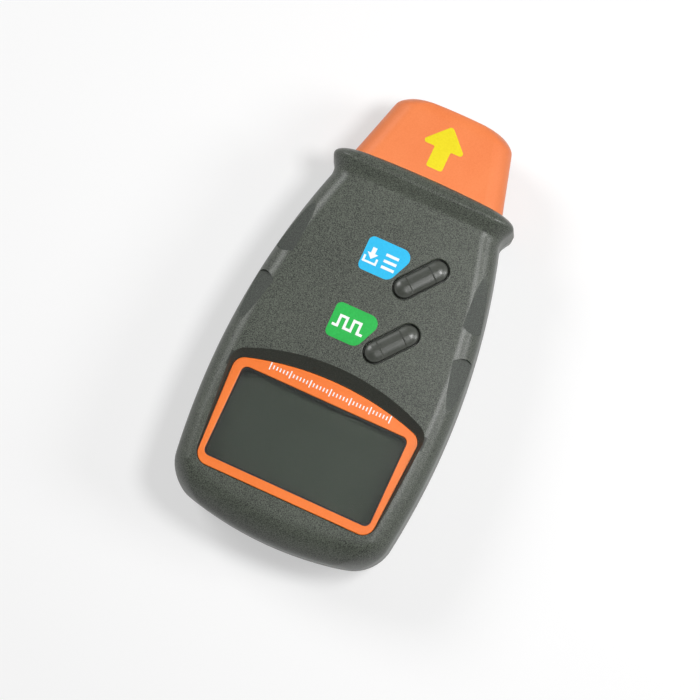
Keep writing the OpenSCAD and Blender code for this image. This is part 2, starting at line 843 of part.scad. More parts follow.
module battery_cover() {
    panel_end = bay_end - slide_gap;
    color([0.26, 0.27, 0.26]) difference() {
        intersection() {
            case_solid();
            union() {
                block([-panel_half, y_end - over, cover_inset], [panel_half, panel_end, cover_top]);
                block([-panel_half, y_end - over, 0], [panel_half, y_end + cover_end, cover_end_height]);
                block(
                    [-panel_half - tongue_width, y_end + cover_end, tongue_z],
                    [panel_half + tongue_width, panel_end + tongue_width, cover_top]
                );
            }
        }
        for (i = [0:groove_count - 1])
            translate([0, panel_end - groove_from_top - i * groove_pitch, cover_inset])
                cube([groove_length, groove_width, 2 * groove_depth], center = true);
    }
}

module nose_cap() {
    rim_front = y_pocket - seat_gap;
    rim_back = rim_front - rim_thickness;
    inner_tip = y_tip - tip_wall;
    places = [for (i = [skin_steps:-1:0]) y_tip - tip_corner_radius * (1 - cos(90 * i / skin_steps))];
    color([1, 0.5, 0.25]) difference() {
        union() {
            skin([for (y = concat([rim_back], places)) nose_ring(y, 0, skin_steps)]);
            skin([for (y = [rim_back, rim_front]) nose_ring(y, rim_width, skin_steps)]);
        }
        skin([for (y = [rim_back - over, y_tip - tip_corner_radius, inner_tip])
            nose_ring(y, -nose_wall, cavity_steps)]);
        optics_slot(aperture_width, aperture_height, inner_tip - over, y_tip + over);
    }
}

module display_frame() {
    color([0.99, 0.5, 0.22]) on_display() translate([0, 0, -frame_thickness])
        linear_extrude(frame_thickness) difference() {
            frame_shape();
            window_shape();
        }
}

module display_window() {
    color([0.55, 0.6, 0.58, 0.6]) on_display() translate([0, 0, -frame_thickness - pane_thickness])
        linear_extrude(pane_thickness) frame_shape();
}

module lcd_panel() {
    color([0.24, 0.26, 0.24])
        block([-lcd_width / 2, lcd_y, lcd_z], [lcd_width / 2, lcd_y + lcd_height, lcd_top]);
}

module lcd_ring() {
    half = lcd_width / 2 + fit_gap;
    color([0.9, 0.9, 0.88]) difference() {
        block(
            [-half - ring_wall + fit_gap, lcd_y - ring_wall, board_top],
            [half + ring_wall - fit_gap, lcd_y + lcd_height + ring_wall, lcd_top - seat_gap]
        );
        block(
            [-half, lcd_y - fit_gap, board_top - over],
            [half, lcd_y + lcd_height + fit_gap, lcd_top + over]
        );
    }
}

module contact_strips() {
    color([0.3, 0.3, 0.32])
        for (y = [lcd_y, lcd_y + lcd_height - contact_width])
            block(
                [-window_width / 2, y, board_top],
                [window_width / 2, y + contact_width, lcd_z]
            );
}

// Half outline of a button's domed cross section above its rim
function dome_profile(drop) =
    let (
        r = button_width / 2,
        foot = face_z + button_rise - button_dome
    )
    concat(
        [[0, button_rim_z], [r, button_rim_z]],
        [for (i = [0:6]) [r * cos(15 * i), foot + button_dome * sin(15 * i) - drop]]
    );

// Straight stretch of a button with its cross section lowered by drop
module button_stretch(from, to, drop) {
    half = dome_profile(drop);
    translate([from, 0, 0]) rotate([90, 0, 90]) linear_extrude(to - from) {
        polygon(half);
        mirror([1, 0]) polygon(half);
    }
}

module button(y) {
    ends = button_length / 2;
    scoop = scoop_length / 2;
    at_button(y) {
        for (side = [-1, 1]) translate([side * ends, 0, 0]) rotate_extrude() polygon(dome_profile(0));
        button_stretch(-ends, -scoop, 0);
        button_stretch(-scoop, scoop, scoop_depth);
        button_stretch(scoop, ends, 0);
        translate([0, 0, button_rim_z]) linear_extrude(button_rim_thickness) button_shape(button_rim);
    }
}

module store_button() {
    color([0.4, 0.41, 0.4]) button(upper_button_y);
}

module measure_button() {
    color([0.4, 0.41, 0.4]) button(lower_button_y);
}

module plunger(y) {
    translate([button_x, y, 0]) bar(plunger_diameter / 2, switch_top - plunger_sink, button_rim_z);
}

module store_plunger() {
    color([0.1, 0.1, 0.1]) plunger(upper_button_y);
}

module measure_plunger() {
    color([0.1, 0.1, 0.1]) plunger(lower_button_y);
}

module switch(y) {
    half = switch_width / 2;
    bore_depth = plunger_sink + button_travel + slide_gap;
    translate([button_x, y, 0]) difference() {
        block([-half, -half, board_top], [half, half, switch_top]);
        bar(plunger_diameter / 2 + fit_gap, switch_top - bore_depth, switch_top + over);
    }
}

module store_switch() {
    color([0.2, 0.2, 0.2]) switch(upper_button_y);
}

module measure_switch() {
    color([0.2, 0.2, 0.2]) switch(lower_button_y);
}

module main_board() {
    right = [
        [board_half, board_y], [board_half, board_shoulder_y],
        [board_neck_half, board_shoulder_y + board_half - board_neck_half],
        [board_neck_half, board_neck_y], [tongue_half, board_neck_y], [tongue_half, tongue_y]
    ];
    color([0.1, 0.35, 0.2]) difference() {
        translate([0, 0, board_z]) linear_extrude(board_thickness) polygon(concat(right, mirrored(right)));
        for (place = [upper_post, lower_post, holder_screw])
            both_sides(place) bar(board_screw / 2 + fit_gap, board_z - over, board_top + over);
    }
}

module controller_chip() {
    color([0.12, 0.12, 0.13]) translate([-button_x, (upper_button_y + lower_button_y) / 2, board_top])
        translate([-chip_size / 2, -chip_size / 2, 0]) cube([chip_size, chip_size, chip_height]);
}

module crystal() {
    run = (crystal_length - crystal_width) / 2;
    color([0.75, 0.75, 0.77]) translate([-button_x, lower_button_y, board_top])
        linear_extrude(crystal_height) {
            square([2 * run, crystal_width], center = true);
            for (side = [-1, 1]) translate([side * run, 0]) circle(d = crystal_width);
        }
}

module capacitor() {
    color([0.15, 0.2, 0.4]) translate([-button_x, upper_button_y, 0])
        bar(capacitor_diameter / 2, board_top, board_top + capacitor_height);
}

module board_screws() {
    color([0.7, 0.7, 0.72]) for (place = [upper_post, lower_post]) both_sides(place) {
        bar(board_screw_head / 2, board_z - board_thickness, board_z);
        bar(board_screw / 2, board_z, board_top + board_screw_bite);
    }
}

module optics_holder() {
    color([0.06, 0.06, 0.06]) difference() {
        union() {
            optics_slot(
                aperture_width - 2 * fit_gap, aperture_height - 2 * fit_gap,
                shoulder_front - shoulder_thickness, holder_front
            );
            optics_slot(
                aperture_width + 2 * shoulder_width, aperture_height + 2 * shoulder_width,
                shoulder_front - shoulder_thickness, shoulder_front
            );
            block(
                [-holder_width / 2, holder_rear, holder_bottom],
                [holder_width / 2, shoulder_front - shoulder_thickness, board_z]
            );
            block(
                [-holder_width / 2, holder_rear - foot_length, board_z - foot_thickness],
                [holder_width / 2, holder_rear, board_z]
            );
        }
        optics_bar(-lens_offset, lens_diameter / 2 + seat_gap, lens_seat, holder_front + over);
        optics_bar(-lens_offset, tunnel_diameter / 2, holder_rear - over, lens_seat + over);
        optics_bar(laser_offset, laser_diameter / 2 + seat_gap, holder_rear - over, laser_front + seat_gap);
        optics_bar(laser_offset, laser_hole / 2, holder_rear, holder_front + over);
        both_sides(holder_screw)
            bar(board_screw / 2 + fit_gap / 2, board_z - foot_thickness - over, board_z + over);
    }
}

module receiver_lens() {
    color([0.75, 0.85, 0.9, 0.7]) intersection() {
        optics_bar(-lens_offset, lens_diameter / 2, lens_seat, holder_front);
        translate([-lens_offset, holder_front - lens_radius, optics_z]) sphere(r = lens_radius, $fn = 64);
    }
}

module laser_barrel() {
    color([0.8, 0.65, 0.3]) difference() {
        optics_bar(laser_offset, laser_diameter / 2, holder_rear, laser_front);
        optics_bar(laser_offset, laser_hole / 2, laser_front - lens_thickness, laser_front + over);
    }
}

module photo_sensor() {
    color([0.2, 0.1, 0.15]) union() {
        optics_bar(-lens_offset, sensor_diameter / 2, holder_rear, holder_rear + sensor_length);
        translate([-lens_offset, holder_rear + sensor_length, optics_z]) sphere(d = sensor_diameter);
    }
}

module sensor_board() {
    color([0.1, 0.35, 0.2]) block(
        [-holder_width / 2, holder_rear - sensor_board_thickness, holder_bottom],
        [holder_width / 2, holder_rear, board_z - foot_thickness - seat_gap]
    );
}

module holder_screws() {
    color([0.7, 0.7, 0.72]) both_sides(holder_screw) {
        bar(board_screw_head / 2, board_top, board_top + board_thickness);
        bar(board_screw / 2, board_z - foot_thickness, board_top);
    }
}

module battery() {
    run = [battery_width - 2 * battery_edge, battery_depth - 2 * battery_edge];
    color([0.2, 0.22, 0.25]) union() {
        translate([0, battery_y + battery_length, battery_mid_z]) rotate([90, 0, 0])
            linear_extrude(battery_length) {
                square([battery_width, run[1]], center = true);
                square([run[0], battery_depth], center = true);
                for (x = [-1, 1]) for (z = [-1, 1])
                    translate([x * run[0] / 2, z * run[1] / 2]) circle(r = battery_edge);
            }
        for (stud = [[-1, plain_stud], [1, socket_stud]])
            translate([stud[0] * stud_pitch / 2, battery_y + battery_length - over, battery_mid_z])
                rotate([-90, 0, 0]) cylinder(d = stud[1], h = stud_height + over);
    }
}

module battery_snap() {
    half = battery_width / 2 - battery_edge;
    color([0.08, 0.08, 0.08]) difference() {
        block(
            [-half, snap_y, battery_mid_z - snap_height / 2],
            [half, snap_back, battery_mid_z + snap_height / 2]
        );
        for (stud = [[-1, plain_stud], [1, socket_stud]])
            translate([stud[0] * stud_pitch / 2, snap_y - over, battery_mid_z])
                rotate([-90, 0, 0]) cylinder(d = stud[1] + 2 * fit_gap, h = stud_height + over);
    }
}

// Battery lead: straight out of the snap connector, a bend, and up to the board
module lead(side) {
    z = battery_mid_z + lead_bend / 2;
    bend_y = bay_end + bay_end_wall;
    translate([side * lead_pitch / 2, 0, 0]) {
        translate([0, snap_back, z]) rotate([-90, 0, 0]) cylinder(d = lead_diameter, h = bend_y - snap_back);
        translate([0, bend_y, z + lead_bend]) rotate([0, 90, 0]) rotate_extrude(angle = 90)
            translate([lead_bend, 0]) circle(d = lead_diameter);
        translate([0, bend_y + lead_bend, 0]) bar(lead_diameter / 2, z + lead_bend, board_z);
    }
}

module positive_lead() {
    color([0.75, 0.08, 0.06]) lead(-1);
}

module negative_lead() {
    color([0.05, 0.05, 0.05]) lead(1);
}

module case_screws() {
    color([0.7, 0.7, 0.72]) for (place = [upper_screw, lower_screw]) both_sides(place) {
        bar(screw_head / 2, screw_seat - screw_head_height, screw_seat);
        bar(screw_shank / 2, screw_seat, screw_seat + screw_length);
    }
}

front_case();
rear_case();
battery_cover();
nose_cap();
display_frame();
display_window();
lcd_panel();
lcd_ring();
contact_strips();
store_button();
measure_button();
store_plunger();
measure_plunger();
store_switch();
measure_switch();
main_board();
controller_chip();
crystal();
capacitor();
board_screws();
optics_holder();
receiver_lens();
laser_barrel();
photo_sensor();
sensor_board();
holder_screws();
battery();
battery_snap();
positive_lead();
negative_lead();
case_screws();
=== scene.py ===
"""Dressed model of a handheld laser tachometer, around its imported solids."""
import bmesh
import bpy
import math
from contextlib import contextmanager
from mathutils import Matrix, Vector


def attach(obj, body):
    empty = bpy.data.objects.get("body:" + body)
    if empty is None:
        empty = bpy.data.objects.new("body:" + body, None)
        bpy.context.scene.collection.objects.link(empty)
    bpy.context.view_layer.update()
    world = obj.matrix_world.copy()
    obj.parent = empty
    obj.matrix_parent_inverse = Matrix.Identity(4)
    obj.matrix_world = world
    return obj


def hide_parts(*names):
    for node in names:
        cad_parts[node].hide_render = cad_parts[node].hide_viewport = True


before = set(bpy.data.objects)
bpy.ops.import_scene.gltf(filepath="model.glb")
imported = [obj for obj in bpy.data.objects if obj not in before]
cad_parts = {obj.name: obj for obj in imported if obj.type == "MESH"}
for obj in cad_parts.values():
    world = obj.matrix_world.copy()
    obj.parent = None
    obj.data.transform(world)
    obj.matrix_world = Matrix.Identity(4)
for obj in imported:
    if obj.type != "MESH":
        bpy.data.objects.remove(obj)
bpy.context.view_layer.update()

# Sizes of the object in millimetres, as in its solids
MM = 0.001
TOTAL_LENGTH = 131.0
CASE_WIDTH = 69.0
WIDEST_FROM_END = 41.5
SIDE_RADIUS = 205.0
END_RADIUS = 100.0
CORNER_RADIUS = 7.0
END_ROUND = 8.5
BOW_FADE = 29.75
END_DROP_FRONT = 9.0
END_DROP_BACK = 5.0
EDGE_RADIUS = 6.0
BACK_RADIUS = 5.0
WALL = 2.0
JOINT_Z = 13.0
SEAM = 0.25
GROOVE_FLAT = 0.02
DRAFT = 0.4
COLLAR_WIDTH = 55.2
COLLAR_RISE = 1.7
COLLAR_SHOULDER = 3.4
COLLAR_FLARE = 5.7
LIP_FALL = 0.8
LIP_GROWTH = 0.85
LIP_WALL = 2.2
FACE_Z = 27.3
OPTICS_Z = 14.2
FIT_GAP = 0.15
SEAT_GAP = 0.1
SLIDE_GAP = 0.2

# Nose: width and depth at its base and tip, then the rim's height and length behind the lip
NOSE_LENGTH = 21.2
NOSE_BASE = (45.0, 21.6)
NOSE_TIP = (33.2, 17.0)
NOSE_EDGE = 6.0
NOSE_SIDE_FLAT = 1.0
TIP_CORNER = 4.5
TIP_DROP = 2.4
TIP_RADIUS = 200.0
NOSE_WALL = 1.8
TIP_WALL = 2.0
RIM = (0.8, 1.5)
APERTURE = (21.0, 10.0)

# Display: an outline's half widths at bottom and top, height, arch radius and corner radius
FRAME_Y = -53.1
FRAME_SIZES = (26.3, 28.1, 35.4, 84.0, 3.6)
RECESS_SIZES = (27.0, 30.1, 39.4, 66.0, 5.0)
RECESS_FOOT = 0.45
WINDOW = (49.8, 26.8)
WINDOW_CORNER = 1.8
BOTTOM_BAR = 2.65
BOTTOM_SINK = 0.25
TOP_SINK = 2.0
DISPLAY_TILT = math.atan((TOP_SINK - BOTTOM_SINK) / FRAME_SIZES[2])
FRAME_THICKNESS = 0.7
FRAME_BEVEL = 0.22
PANE_THICKNESS = 0.8
PANE_BEVEL = 0.1
# Black ring on the pane along the window's edge, as painted shadow of the frame's inner wall: its width,
# overlap under the frame and thickness
SHADOW_RING_WIDTH = 0.5
SHADOW_RING_OVERLAP = 0.6
SHADOW_RING_THICKNESS = 0.08
WELL_Z = 22.8
WELL_WIDTH = 2.0

# Buttons
BUTTON_X = 9.8
UPPER_BUTTON_Y = 17.645
LOWER_BUTTON_Y = -1.915
BUTTON_ANGLE = math.radians(51)
BUTTON_RADIUS = 2.85
BUTTON_RUN = 10.35
BUTTON_RISE = 0.9
BUTTON_DOME = 1.3
BUTTON_TOP_TURN = 89
SCOOP_DEPTH = 0.4
SCOOP_LENGTH = 7.0
SCOOP_STEP = 0.2
BUTTON_SHOULDER = 0.86
BUTTON_GAP = 0.45
BUTTON_RIM = 1.0
BUTTON_RIM_Z = (24.3, 25.2)

# Grip facets: place of the end at the bridge, turn and direction
GRIP_INSET = 6.1
GRIP_SLOPE = math.radians(38)
GRIP_END = 5.5
GRIP_END_SHIFT = 3.5
GRIP_LENGTH = 14.0
GRIP_CUT = 30.0
GRIPS = ((9.3, math.radians(5.5), 1), (2.0, math.radians(12), -1))

# Battery bay, cover and screws
BAY_HALF = 13.3
BAY_WALL = 2.3
BAY_END = -10.5
BAY_END_WALL = 2.5
BAY_END_HEIGHT = 9.5
BATTERY_Z = 2.3
BATTERY_MID_Z = 10.55
PANEL_HALF = 13.6
COVER_INSET = 0.3
COVER_TOP = 2.1
COVER_LEDGE = 1.1
COVER_END = 3.2
COVER_END_HEIGHT = 7.5
TONGUE_WIDTH = 0.9
TONGUE_Z = 1.2
GROOVE_COUNT = 5
GROOVE_PITCH = 2.2
GROOVE_SIZE = (1.0, 15.0, 1.0)
GROOVE_FROM_TOP = 8.0
UPPER_SCREW = (20.3, 30.7)
LOWER_SCREW = (22.0, -56.3)
SCREW_SEAT = 5.0
SCREW_HEAD = (2.5, 1.8)
SCREW_RIM = 0.3
SCREW_SHANK = (1.4, 13.0)
SCREW_SIDES = 40
CROSS_SIZE = (3.0, 0.75, 1.1)
WELL_RADIUS = 2.7
COLUMN_RADIUS = 3.9
BOSS_RADIUS = 3.0
UPPER_POST = (14.0, 29.0)
LOWER_POST = (23.5, -11.515)
POST_RADIUS = 2.6
BOARD_TOP = 20.2

# Receiver lens
LENS_X = -5.6
LENS_ENDS = (62.3, 64.7)
LENS_RADIUS = 4.1
LENS_CURVE = 8.0
LENS_CHAMFER = 0.15
LENS_RIM = 0.1
LENS_HUB = 0.02

# Printed marks: a tag's left, right, low and high sides, and places of marks
PRINT = 0.06
PRINT_BEVEL = 0.02
STORE_TAG = (-7.8, 6.3, 13.5, 23.4)
MEASURE_TAG = (-8.4, 5.7, -6.9, 3.1)
TAG_CORNERS = (1.6, 2.8, 2.6, 1.6)
TAG_SLANT = 0.55
STORE_MARK = (-1.9, 18.3)
TRAY_LINE = 0.6
LIST_LINE = 0.8
PULSE_MARK = (-2.9, -1.9)
PULSE_LINE = 0.75
PULSE_RISE = 1.5
PULSE_ENDS = (-4.6, 4.4)
PULSE_EDGES = (-3.1, -1.1, 0.9, 2.9)
TICK_COUNT = 37
TICK_PITCH = 1.0
TICK_SIZE = (0.34, 2.2, PRINT)
TICK_LONG_EVERY = 6
TICK_SHORT_PART = 0.5
TICK_Y = 32.2
POINTER_Y = 47.4

# Places along the length
Y_TIP = TOTAL_LENGTH / 2
Y_END = -Y_TIP
Y_LIP = Y_TIP - NOSE_LENGTH
Y_CREST = Y_LIP - COLLAR_SHOULDER
Y_NECK = Y_CREST - COLLAR_FLARE
Y_ROUND = Y_END + END_ROUND
Y_WIDE = Y_END + WIDEST_FROM_END
Y_POCKET = Y_LIP - LIP_WALL
BOW_SIDE = (CASE_WIDTH / 2) ** 2 / (2 * END_RADIUS)

# Fineness of the skins, rounding of cut edges and angles past which an edge stays crisp
ARC_STEPS = 14
FACE_STEPS = 10
BAR_STEPS = 48
LENS_STEPS = 64
GRIP_STEPS = 24
BUTTON_STEPS = 12
ROUND_EDGE = 0.4
RIM_STEPS = 5
RIM_TURN = 80
RECESS_TURN = 82
RECESS_RISE = 0.5
OVER = 1.0
TOUCH = 0.02
CASE_CRISP = math.radians(22)
LENS_CRISP = math.radians(25)
SCREW_CRISP = math.radians(30)
PLATE_CRISP = math.radians(35)
BUTTON_CRISP = math.radians(40)


# Shape rules of the case and the nose

def ease(t):
    return (1 - math.cos(math.pi * min(1, max(0, t)))) / 2


def lerp(a, b, t):
    return a + (b - a) * t


def missing(distance, length):
    """Part of a quarter round that is still missing at a distance from its end."""
    if distance >= length:
        return 0
    return 1 - math.sqrt(max(0, 1 - ((length - distance) / length) ** 2))


def side_half(y):
    return CASE_WIDTH / 2 - SIDE_RADIUS + math.sqrt(SIDE_RADIUS ** 2 - (y - Y_WIDE) ** 2)


def bow_at(y):
    return 1 - ease((y - Y_ROUND) / BOW_FADE)


def bead(y):
    return ease((y - Y_NECK) / COLLAR_FLARE) ** 2


def shoulder(y):
    if y <= Y_CREST:
        return 1
    return math.sqrt(max(0, 1 - ((y - Y_CREST) / COLLAR_SHOULDER) ** 2))


def nose_size(y, axis):
    return lerp(NOSE_BASE[axis], NOSE_TIP[axis], (y - Y_LIP) / NOSE_LENGTH) / 2


LIP_HALF = nose_size(Y_LIP, 0) + LIP_GROWTH
LIP_TOP = OPTICS_Z + nose_size(Y_LIP, 1) + LIP_GROWTH
LIP_BOTTOM = OPTICS_Z - nose_size(Y_LIP, 1) - LIP_GROWTH


def case_half(y):
    if y > Y_NECK:
        swell = lerp(side_half(Y_NECK), COLLAR_WIDTH / 2, bead(y))
        return lerp(LIP_HALF, swell, shoulder(y))
    return side_half(y + bow_at(y) * BOW_SIDE) - CORNER_RADIUS * missing(y - Y_END, CORNER_RADIUS)


def case_back(y):
    if y > Y_CREST:
        return LIP_BOTTOM * (1 - shoulder(y))
    return END_DROP_BACK * missing(y - Y_END, END_ROUND)


def case_front(y):
    if y > Y_NECK:
        return lerp(LIP_TOP, FACE_Z + COLLAR_RISE * bead(y), shoulder(y))
    return FACE_Z - END_DROP_FRONT * missing(y - Y_END, END_ROUND)


def arc(x, z, r, start, end, steps):
    turn = [math.radians(lerp(start, end, i / steps)) for i in range(steps + 1)]
    return [(x + r * math.cos(a), z + r * math.sin(a)) for a in turn]


def mirrored(points):
    return [(-x, z) for x, z in reversed(points)]


def section(half, back, front, back_r, front_r, lean=0.0, seam=0.0):
    """Closed ring of a rounded cross section, with a V groove at the joint."""
    front_run = half - lean - front_r
    back_run = half - lean - back_r
    side = arc(back_run, back + back_r, back_r, -90, 0, ARC_STEPS)
    if seam:
        side += [(half, JOINT_Z - seam), (half - seam, JOINT_Z), (half, JOINT_Z + seam)]
    side += arc(front_run, front - front_r, front_r, 0, 90, ARC_STEPS)
    across = [1 - 2 * i / FACE_STEPS for i in range(1, FACE_STEPS)]
    ring = list(side)
    ring += [(part * front_run, front) for part in across]
    ring += mirrored(side)
    ring += [(-part * back_run, back) for part in across]
    return ring


def ring_at(points, y, bow):
    return [(x, y + bow * x * x, z) for x, z in points]


def case_ring(y, inset=0.0):
    front = case_front(y)
    back = case_back(y)
    front_r = min(EDGE_RADIUS, front - JOINT_Z - 2 * SEAM) - inset
    back_r = min(BACK_RADIUS, JOINT_Z - 2 * SEAM - back) - inset
    seam = 0.0 if inset else SEAM
    points = section(case_half(y) - inset, back + inset, front - inset, back_r, front_r, DRAFT, seam)
    lip_share = max(0, (y - Y_CREST) / COLLAR_SHOULDER)
    return ring_at(points, y, bow_at(y) / (2 * END_RADIUS) - LIP_FALL * lip_share / LIP_HALF ** 2)


def end_ring(ring, y, middle, bow, part):
    """Ring of an end face: a ring drawn in to a part of its size about the middle height."""
    return [(x * part, y + bow * (x * part) ** 2, middle + (z - middle) * part) for x, _, z in ring]


def bottom_rings(y, inset, parts):
    """Rings that close the bottom end of the case or its cavity, from the middle out."""
    first = case_ring(y, inset)
    middle = (case_front(y) + case_back(y)) / 2
    return [end_ring(first, y, middle, 1 / (2 * END_RADIUS), part) for part in parts]


def nose_ring(y, grow):
    cut = missing(Y_TIP - y, TIP_CORNER)
    half = nose_size(y, 0) - TIP_CORNER * cut + grow
    rise = nose_size(y, 1) - TIP_DROP * cut + grow
    r = min(NOSE_EDGE + grow, rise - NOSE_SIDE_FLAT / 2)
    bow = -ease((y - Y_TIP) / TIP_CORNER + 1) / (2 * TIP_RADIUS)
    return ring_at(section(half, OPTICS_Z - rise, OPTICS_Z + rise, r, r), y, bow)


def spread(start, end, steps):
    return [lerp(start, end, i / steps) for i in range(1, steps + 1)]


def quarter_places(start, length, steps):
    return [start + length * (1 - math.cos(math.pi / 2 * i / steps)) for i in range(steps + 1)]


def rim_profile():
    """Steps out and up along a rounded rim, from its foot to its nearly flat top."""
    turns = [math.radians(RIM_TURN * i / RIM_STEPS) for i in range(1, RIM_STEPS + 1)]
    return [(ROUND_EDGE * (1 - math.cos(a)), ROUND_EDGE * math.sin(a)) for a in turns]


# Making meshes

def put_in_scene(name, data):
    made = bpy.data.objects.new(name, data)
    bpy.context.scene.collection.objects.link(made)
    return made


@contextmanager
def edited(mesh):
    """Opens a mesh for editing and writes it back."""
    work = bmesh.new()
    work.from_mesh(mesh)
    yield work
    work.to_mesh(mesh)
    work.free()


def turn_outwards(mesh, distance):
    """Merges points within a distance and turns the faces outwards."""
    with edited(mesh) as work:
        bmesh.ops.remove_doubles(work, verts=work.verts, dist=distance)
        bmesh.ops.recalc_face_normals(work, faces=work.faces)


def mesh_piece(name, points, faces):
    """New object from points in millimetres."""
    mesh = bpy.data.meshes.new(name)
    mesh.from_pydata(points, [], faces)
    turn_outwards(mesh, 1e-4)
    return put_in_scene(name, mesh)


def side_faces(rings):
    """Faces between rings that follow each other in a list of points."""
    count = len(rings[0])
    faces = []
    for i in range(len(rings) - 1):
        for j in range(count):
            k = (j + 1) % count
            faces.append((i * count + j, i * count + k, (i + 1) * count + k, (i + 1) * count + j))
    return faces


def skin(name, rings):
    """Closed solid over a list of rings, each end closed by a fan."""
    count = len(rings[0])
    points = [point for ring in rings for point in ring]
    faces = side_faces(rings)
    for ring_number in (0, len(rings) - 1):
        ring = rings[ring_number]
        middle = len(points)
        points.append(tuple(sum(point[axis] for point in ring) / count for axis in range(3)))
        for j in range(count):
            faces.append((middle, ring_number * count + j, ring_number * count + (j + 1) % count))
    return mesh_piece(name, points, faces)


def block(low, high):
    points = [(x, y, z) for x in (low[0], high[0]) for y in (low[1], high[1]) for z in (low[2], high[2])]
    faces = [(0, 1, 3, 2), (4, 5, 7, 6), (0, 1, 5, 4), (2, 3, 7, 6), (0, 2, 6, 4), (1, 3, 7, 5)]
    return mesh_piece("block", points, faces)


def turned(place, profile):
    """Round solid along Z from radii and heights."""
    turns = [2 * math.pi * i / BAR_STEPS for i in range(BAR_STEPS)]
    x, y = place
    rings = [[(x + r * math.cos(a), y + r * math.sin(a), z) for a in turns] for r, z in profile]
    return skin("turned", rings)


def bars(places, radius, low, high):
    return [turned(place, [(radius, low), (radius, high)]) for place in places]


def four_places(upper, lower):
    return [(side * x, y) for x, y in (upper, lower) for side in (-1, 1)]


SCREW_PLACES = four_places(UPPER_SCREW, LOWER_SCREW)
POST_PLACES = four_places(UPPER_POST, LOWER_POST)


def finished_mesh(piece):
    """Plain mesh of a piece with its modifiers in place."""
    graph = bpy.context.evaluated_depsgraph_get()
    return bpy.data.meshes.new_from_object(piece.evaluated_get(graph), depsgraph=graph)


def settle(piece):
    """Puts a piece's modifiers into its mesh."""
    mesh = finished_mesh(piece)
    piece.modifiers.clear()
    piece.data = mesh
    return piece


def combine(piece, tools, way="DIFFERENCE"):
    """Cuts tools out of a piece, or joins or crosses them with it, and removes the tools."""
    for tool in tools:
        step = piece.modifiers.new("cut", "BOOLEAN")
        step.operation = way
        step.solver = "EXACT"
        step.object = tool
    settle(piece)
    for tool in tools:
        bpy.data.objects.remove(tool)
    return piece


def close_up(piece):
    """Merges doubled points and fills the small gaps that a cut has left."""
    with edited(piece.data) as work:
        bmesh.ops.remove_doubles(work, verts=work.verts, dist=1e-5)
        gaps = [edge for edge in work.edges if edge.is_boundary]
        for face in bmesh.ops.holes_fill(work, edges=gaps, sides=6)["faces"]:
            loop = face.loops[0]
            if loop.link_loop_radial_next.vert == loop.vert:
                face.normal_flip()
    return piece


def halve(piece, keep_front):
    """Keeps the part of a closed piece on one side of the joint and closes the cut."""
    with edited(piece.data) as work:
        everything = work.verts[:] + work.edges[:] + work.faces[:]
        bmesh.ops.bisect_plane(
            work, geom=everything, dist=1e-4, plane_co=(0, 0, JOINT_Z), plane_no=(0, 0, 1),
            clear_inner=keep_front, clear_outer=not keep_front,
        )
        open_edges = [edge for edge in work.edges if edge.is_boundary]
        bmesh.ops.holes_fill(work, edges=open_edges, sides=0)
        bmesh.ops.recalc_face_normals(work, faces=work.faces)
    return piece


def smooth_off(piece, angle):
    """Smooth shading, with edges sharper than an angle left crisp."""
    mesh = piece.data
    mesh.polygons.foreach_set("use_smooth", [True] * len(mesh.polygons))
    mesh.set_sharp_from_angle(angle=angle)
    even = piece.modifiers.new("even normals", "WEIGHTED_NORMAL")
    even.weight = 100
    even.keep_sharp = True
    return settle(piece)


def paint(piece, materials):
    """Gives a piece its materials, in place of those that it has."""
    piece.data.materials.clear()
    for material in materials:
        piece.data.materials.append(material)


def dress(piece, name, materials, body, slot, *nodes):
    """Names a finished piece, brings it to metres, ties it to a body and hides the solids that it stands for.
    """
    piece.name = name
    piece.data.name = name
    piece.data.transform(Matrix.Scale(MM, 4))
    piece.data.update()
    if materials:
        paint(piece, materials)
    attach(piece, body)
    if nodes:
        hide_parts(*nodes)


# Flat outlines

def fillet(before, corner, after, radius, steps):
    """Points of a rounded corner between two straight runs."""
    a = (Vector(before) - Vector(corner)).normalized()
    b = (Vector(after) - Vector(corner)).normalized()
    half_angle = a.angle(b) / 2
    middle = Vector(corner) + (a + b).normalized() * (radius / math.sin(half_angle))
    start = Vector(corner) + a * (radius / math.tan(half_angle)) - middle
    end = Vector(corner) + b * (radius / math.tan(half_angle)) - middle
    sweep = start.angle_signed(end)
    return [tuple(middle + Matrix.Rotation(-sweep * i / steps, 2) @ start) for i in range(steps + 1)]


def rounded(corners, radii, steps=8):
    """Closed outline with a radius at each corner."""
    count = len(corners)
    outline = []
    for i, corner in enumerate(corners):
        outline += fillet(corners[i - 1], corner, corners[(i + 1) % count], radii[i], steps)
    return outline


def arched(half_bottom, half_top, height, radius, corner, foot=0.0, steps=10, arch_steps=24):
    """Arched outline of the display frame or its recess, from its lower left corner round."""
    slope = (half_top - half_bottom) / height
    reach = half_top
    for _ in range(8):
        arch_y = height - radius + math.sqrt(radius ** 2 - reach ** 2)
        reach = half_bottom + slope * arch_y
    tangent = reach / math.sqrt(radius ** 2 - reach ** 2)
    low_left = (-half_bottom + slope * foot, -foot)
    low_right = (half_bottom - slope * foot, -foot)
    top_right = (reach, arch_y)
    top_left = (-reach, arch_y)
    along_arch = (reach - 1, arch_y + tangent)
    outline = fillet(top_left, low_left, low_right, corner, steps)
    outline += fillet(low_left, low_right, top_right, corner, steps)
    right_end = fillet(low_right, top_right, along_arch, corner, steps)
    outline += right_end
    edge = right_end[-1][0]
    lift = right_end[-1][1] - (height - radius + math.sqrt(radius ** 2 - edge ** 2))
    for i in range(1, arch_steps):
        x = lerp(edge, -edge, i / arch_steps)
        outline.append((x, height - radius + math.sqrt(radius ** 2 - x ** 2) + lift * (x / edge) ** 2))
    return outline + mirrored(right_end)


def grown(outline, distance):
    """Outline moved outwards along its normals; it runs anticlockwise."""
    result = []
    count = len(outline)
    for i in range(count):
        back = Vector(outline[i - 1])
        ahead = Vector(outline[(i + 1) % count])
        along = (ahead - back).normalized()
        result.append((outline[i][0] + along.y * distance, outline[i][1] - along.x * distance))
    return result


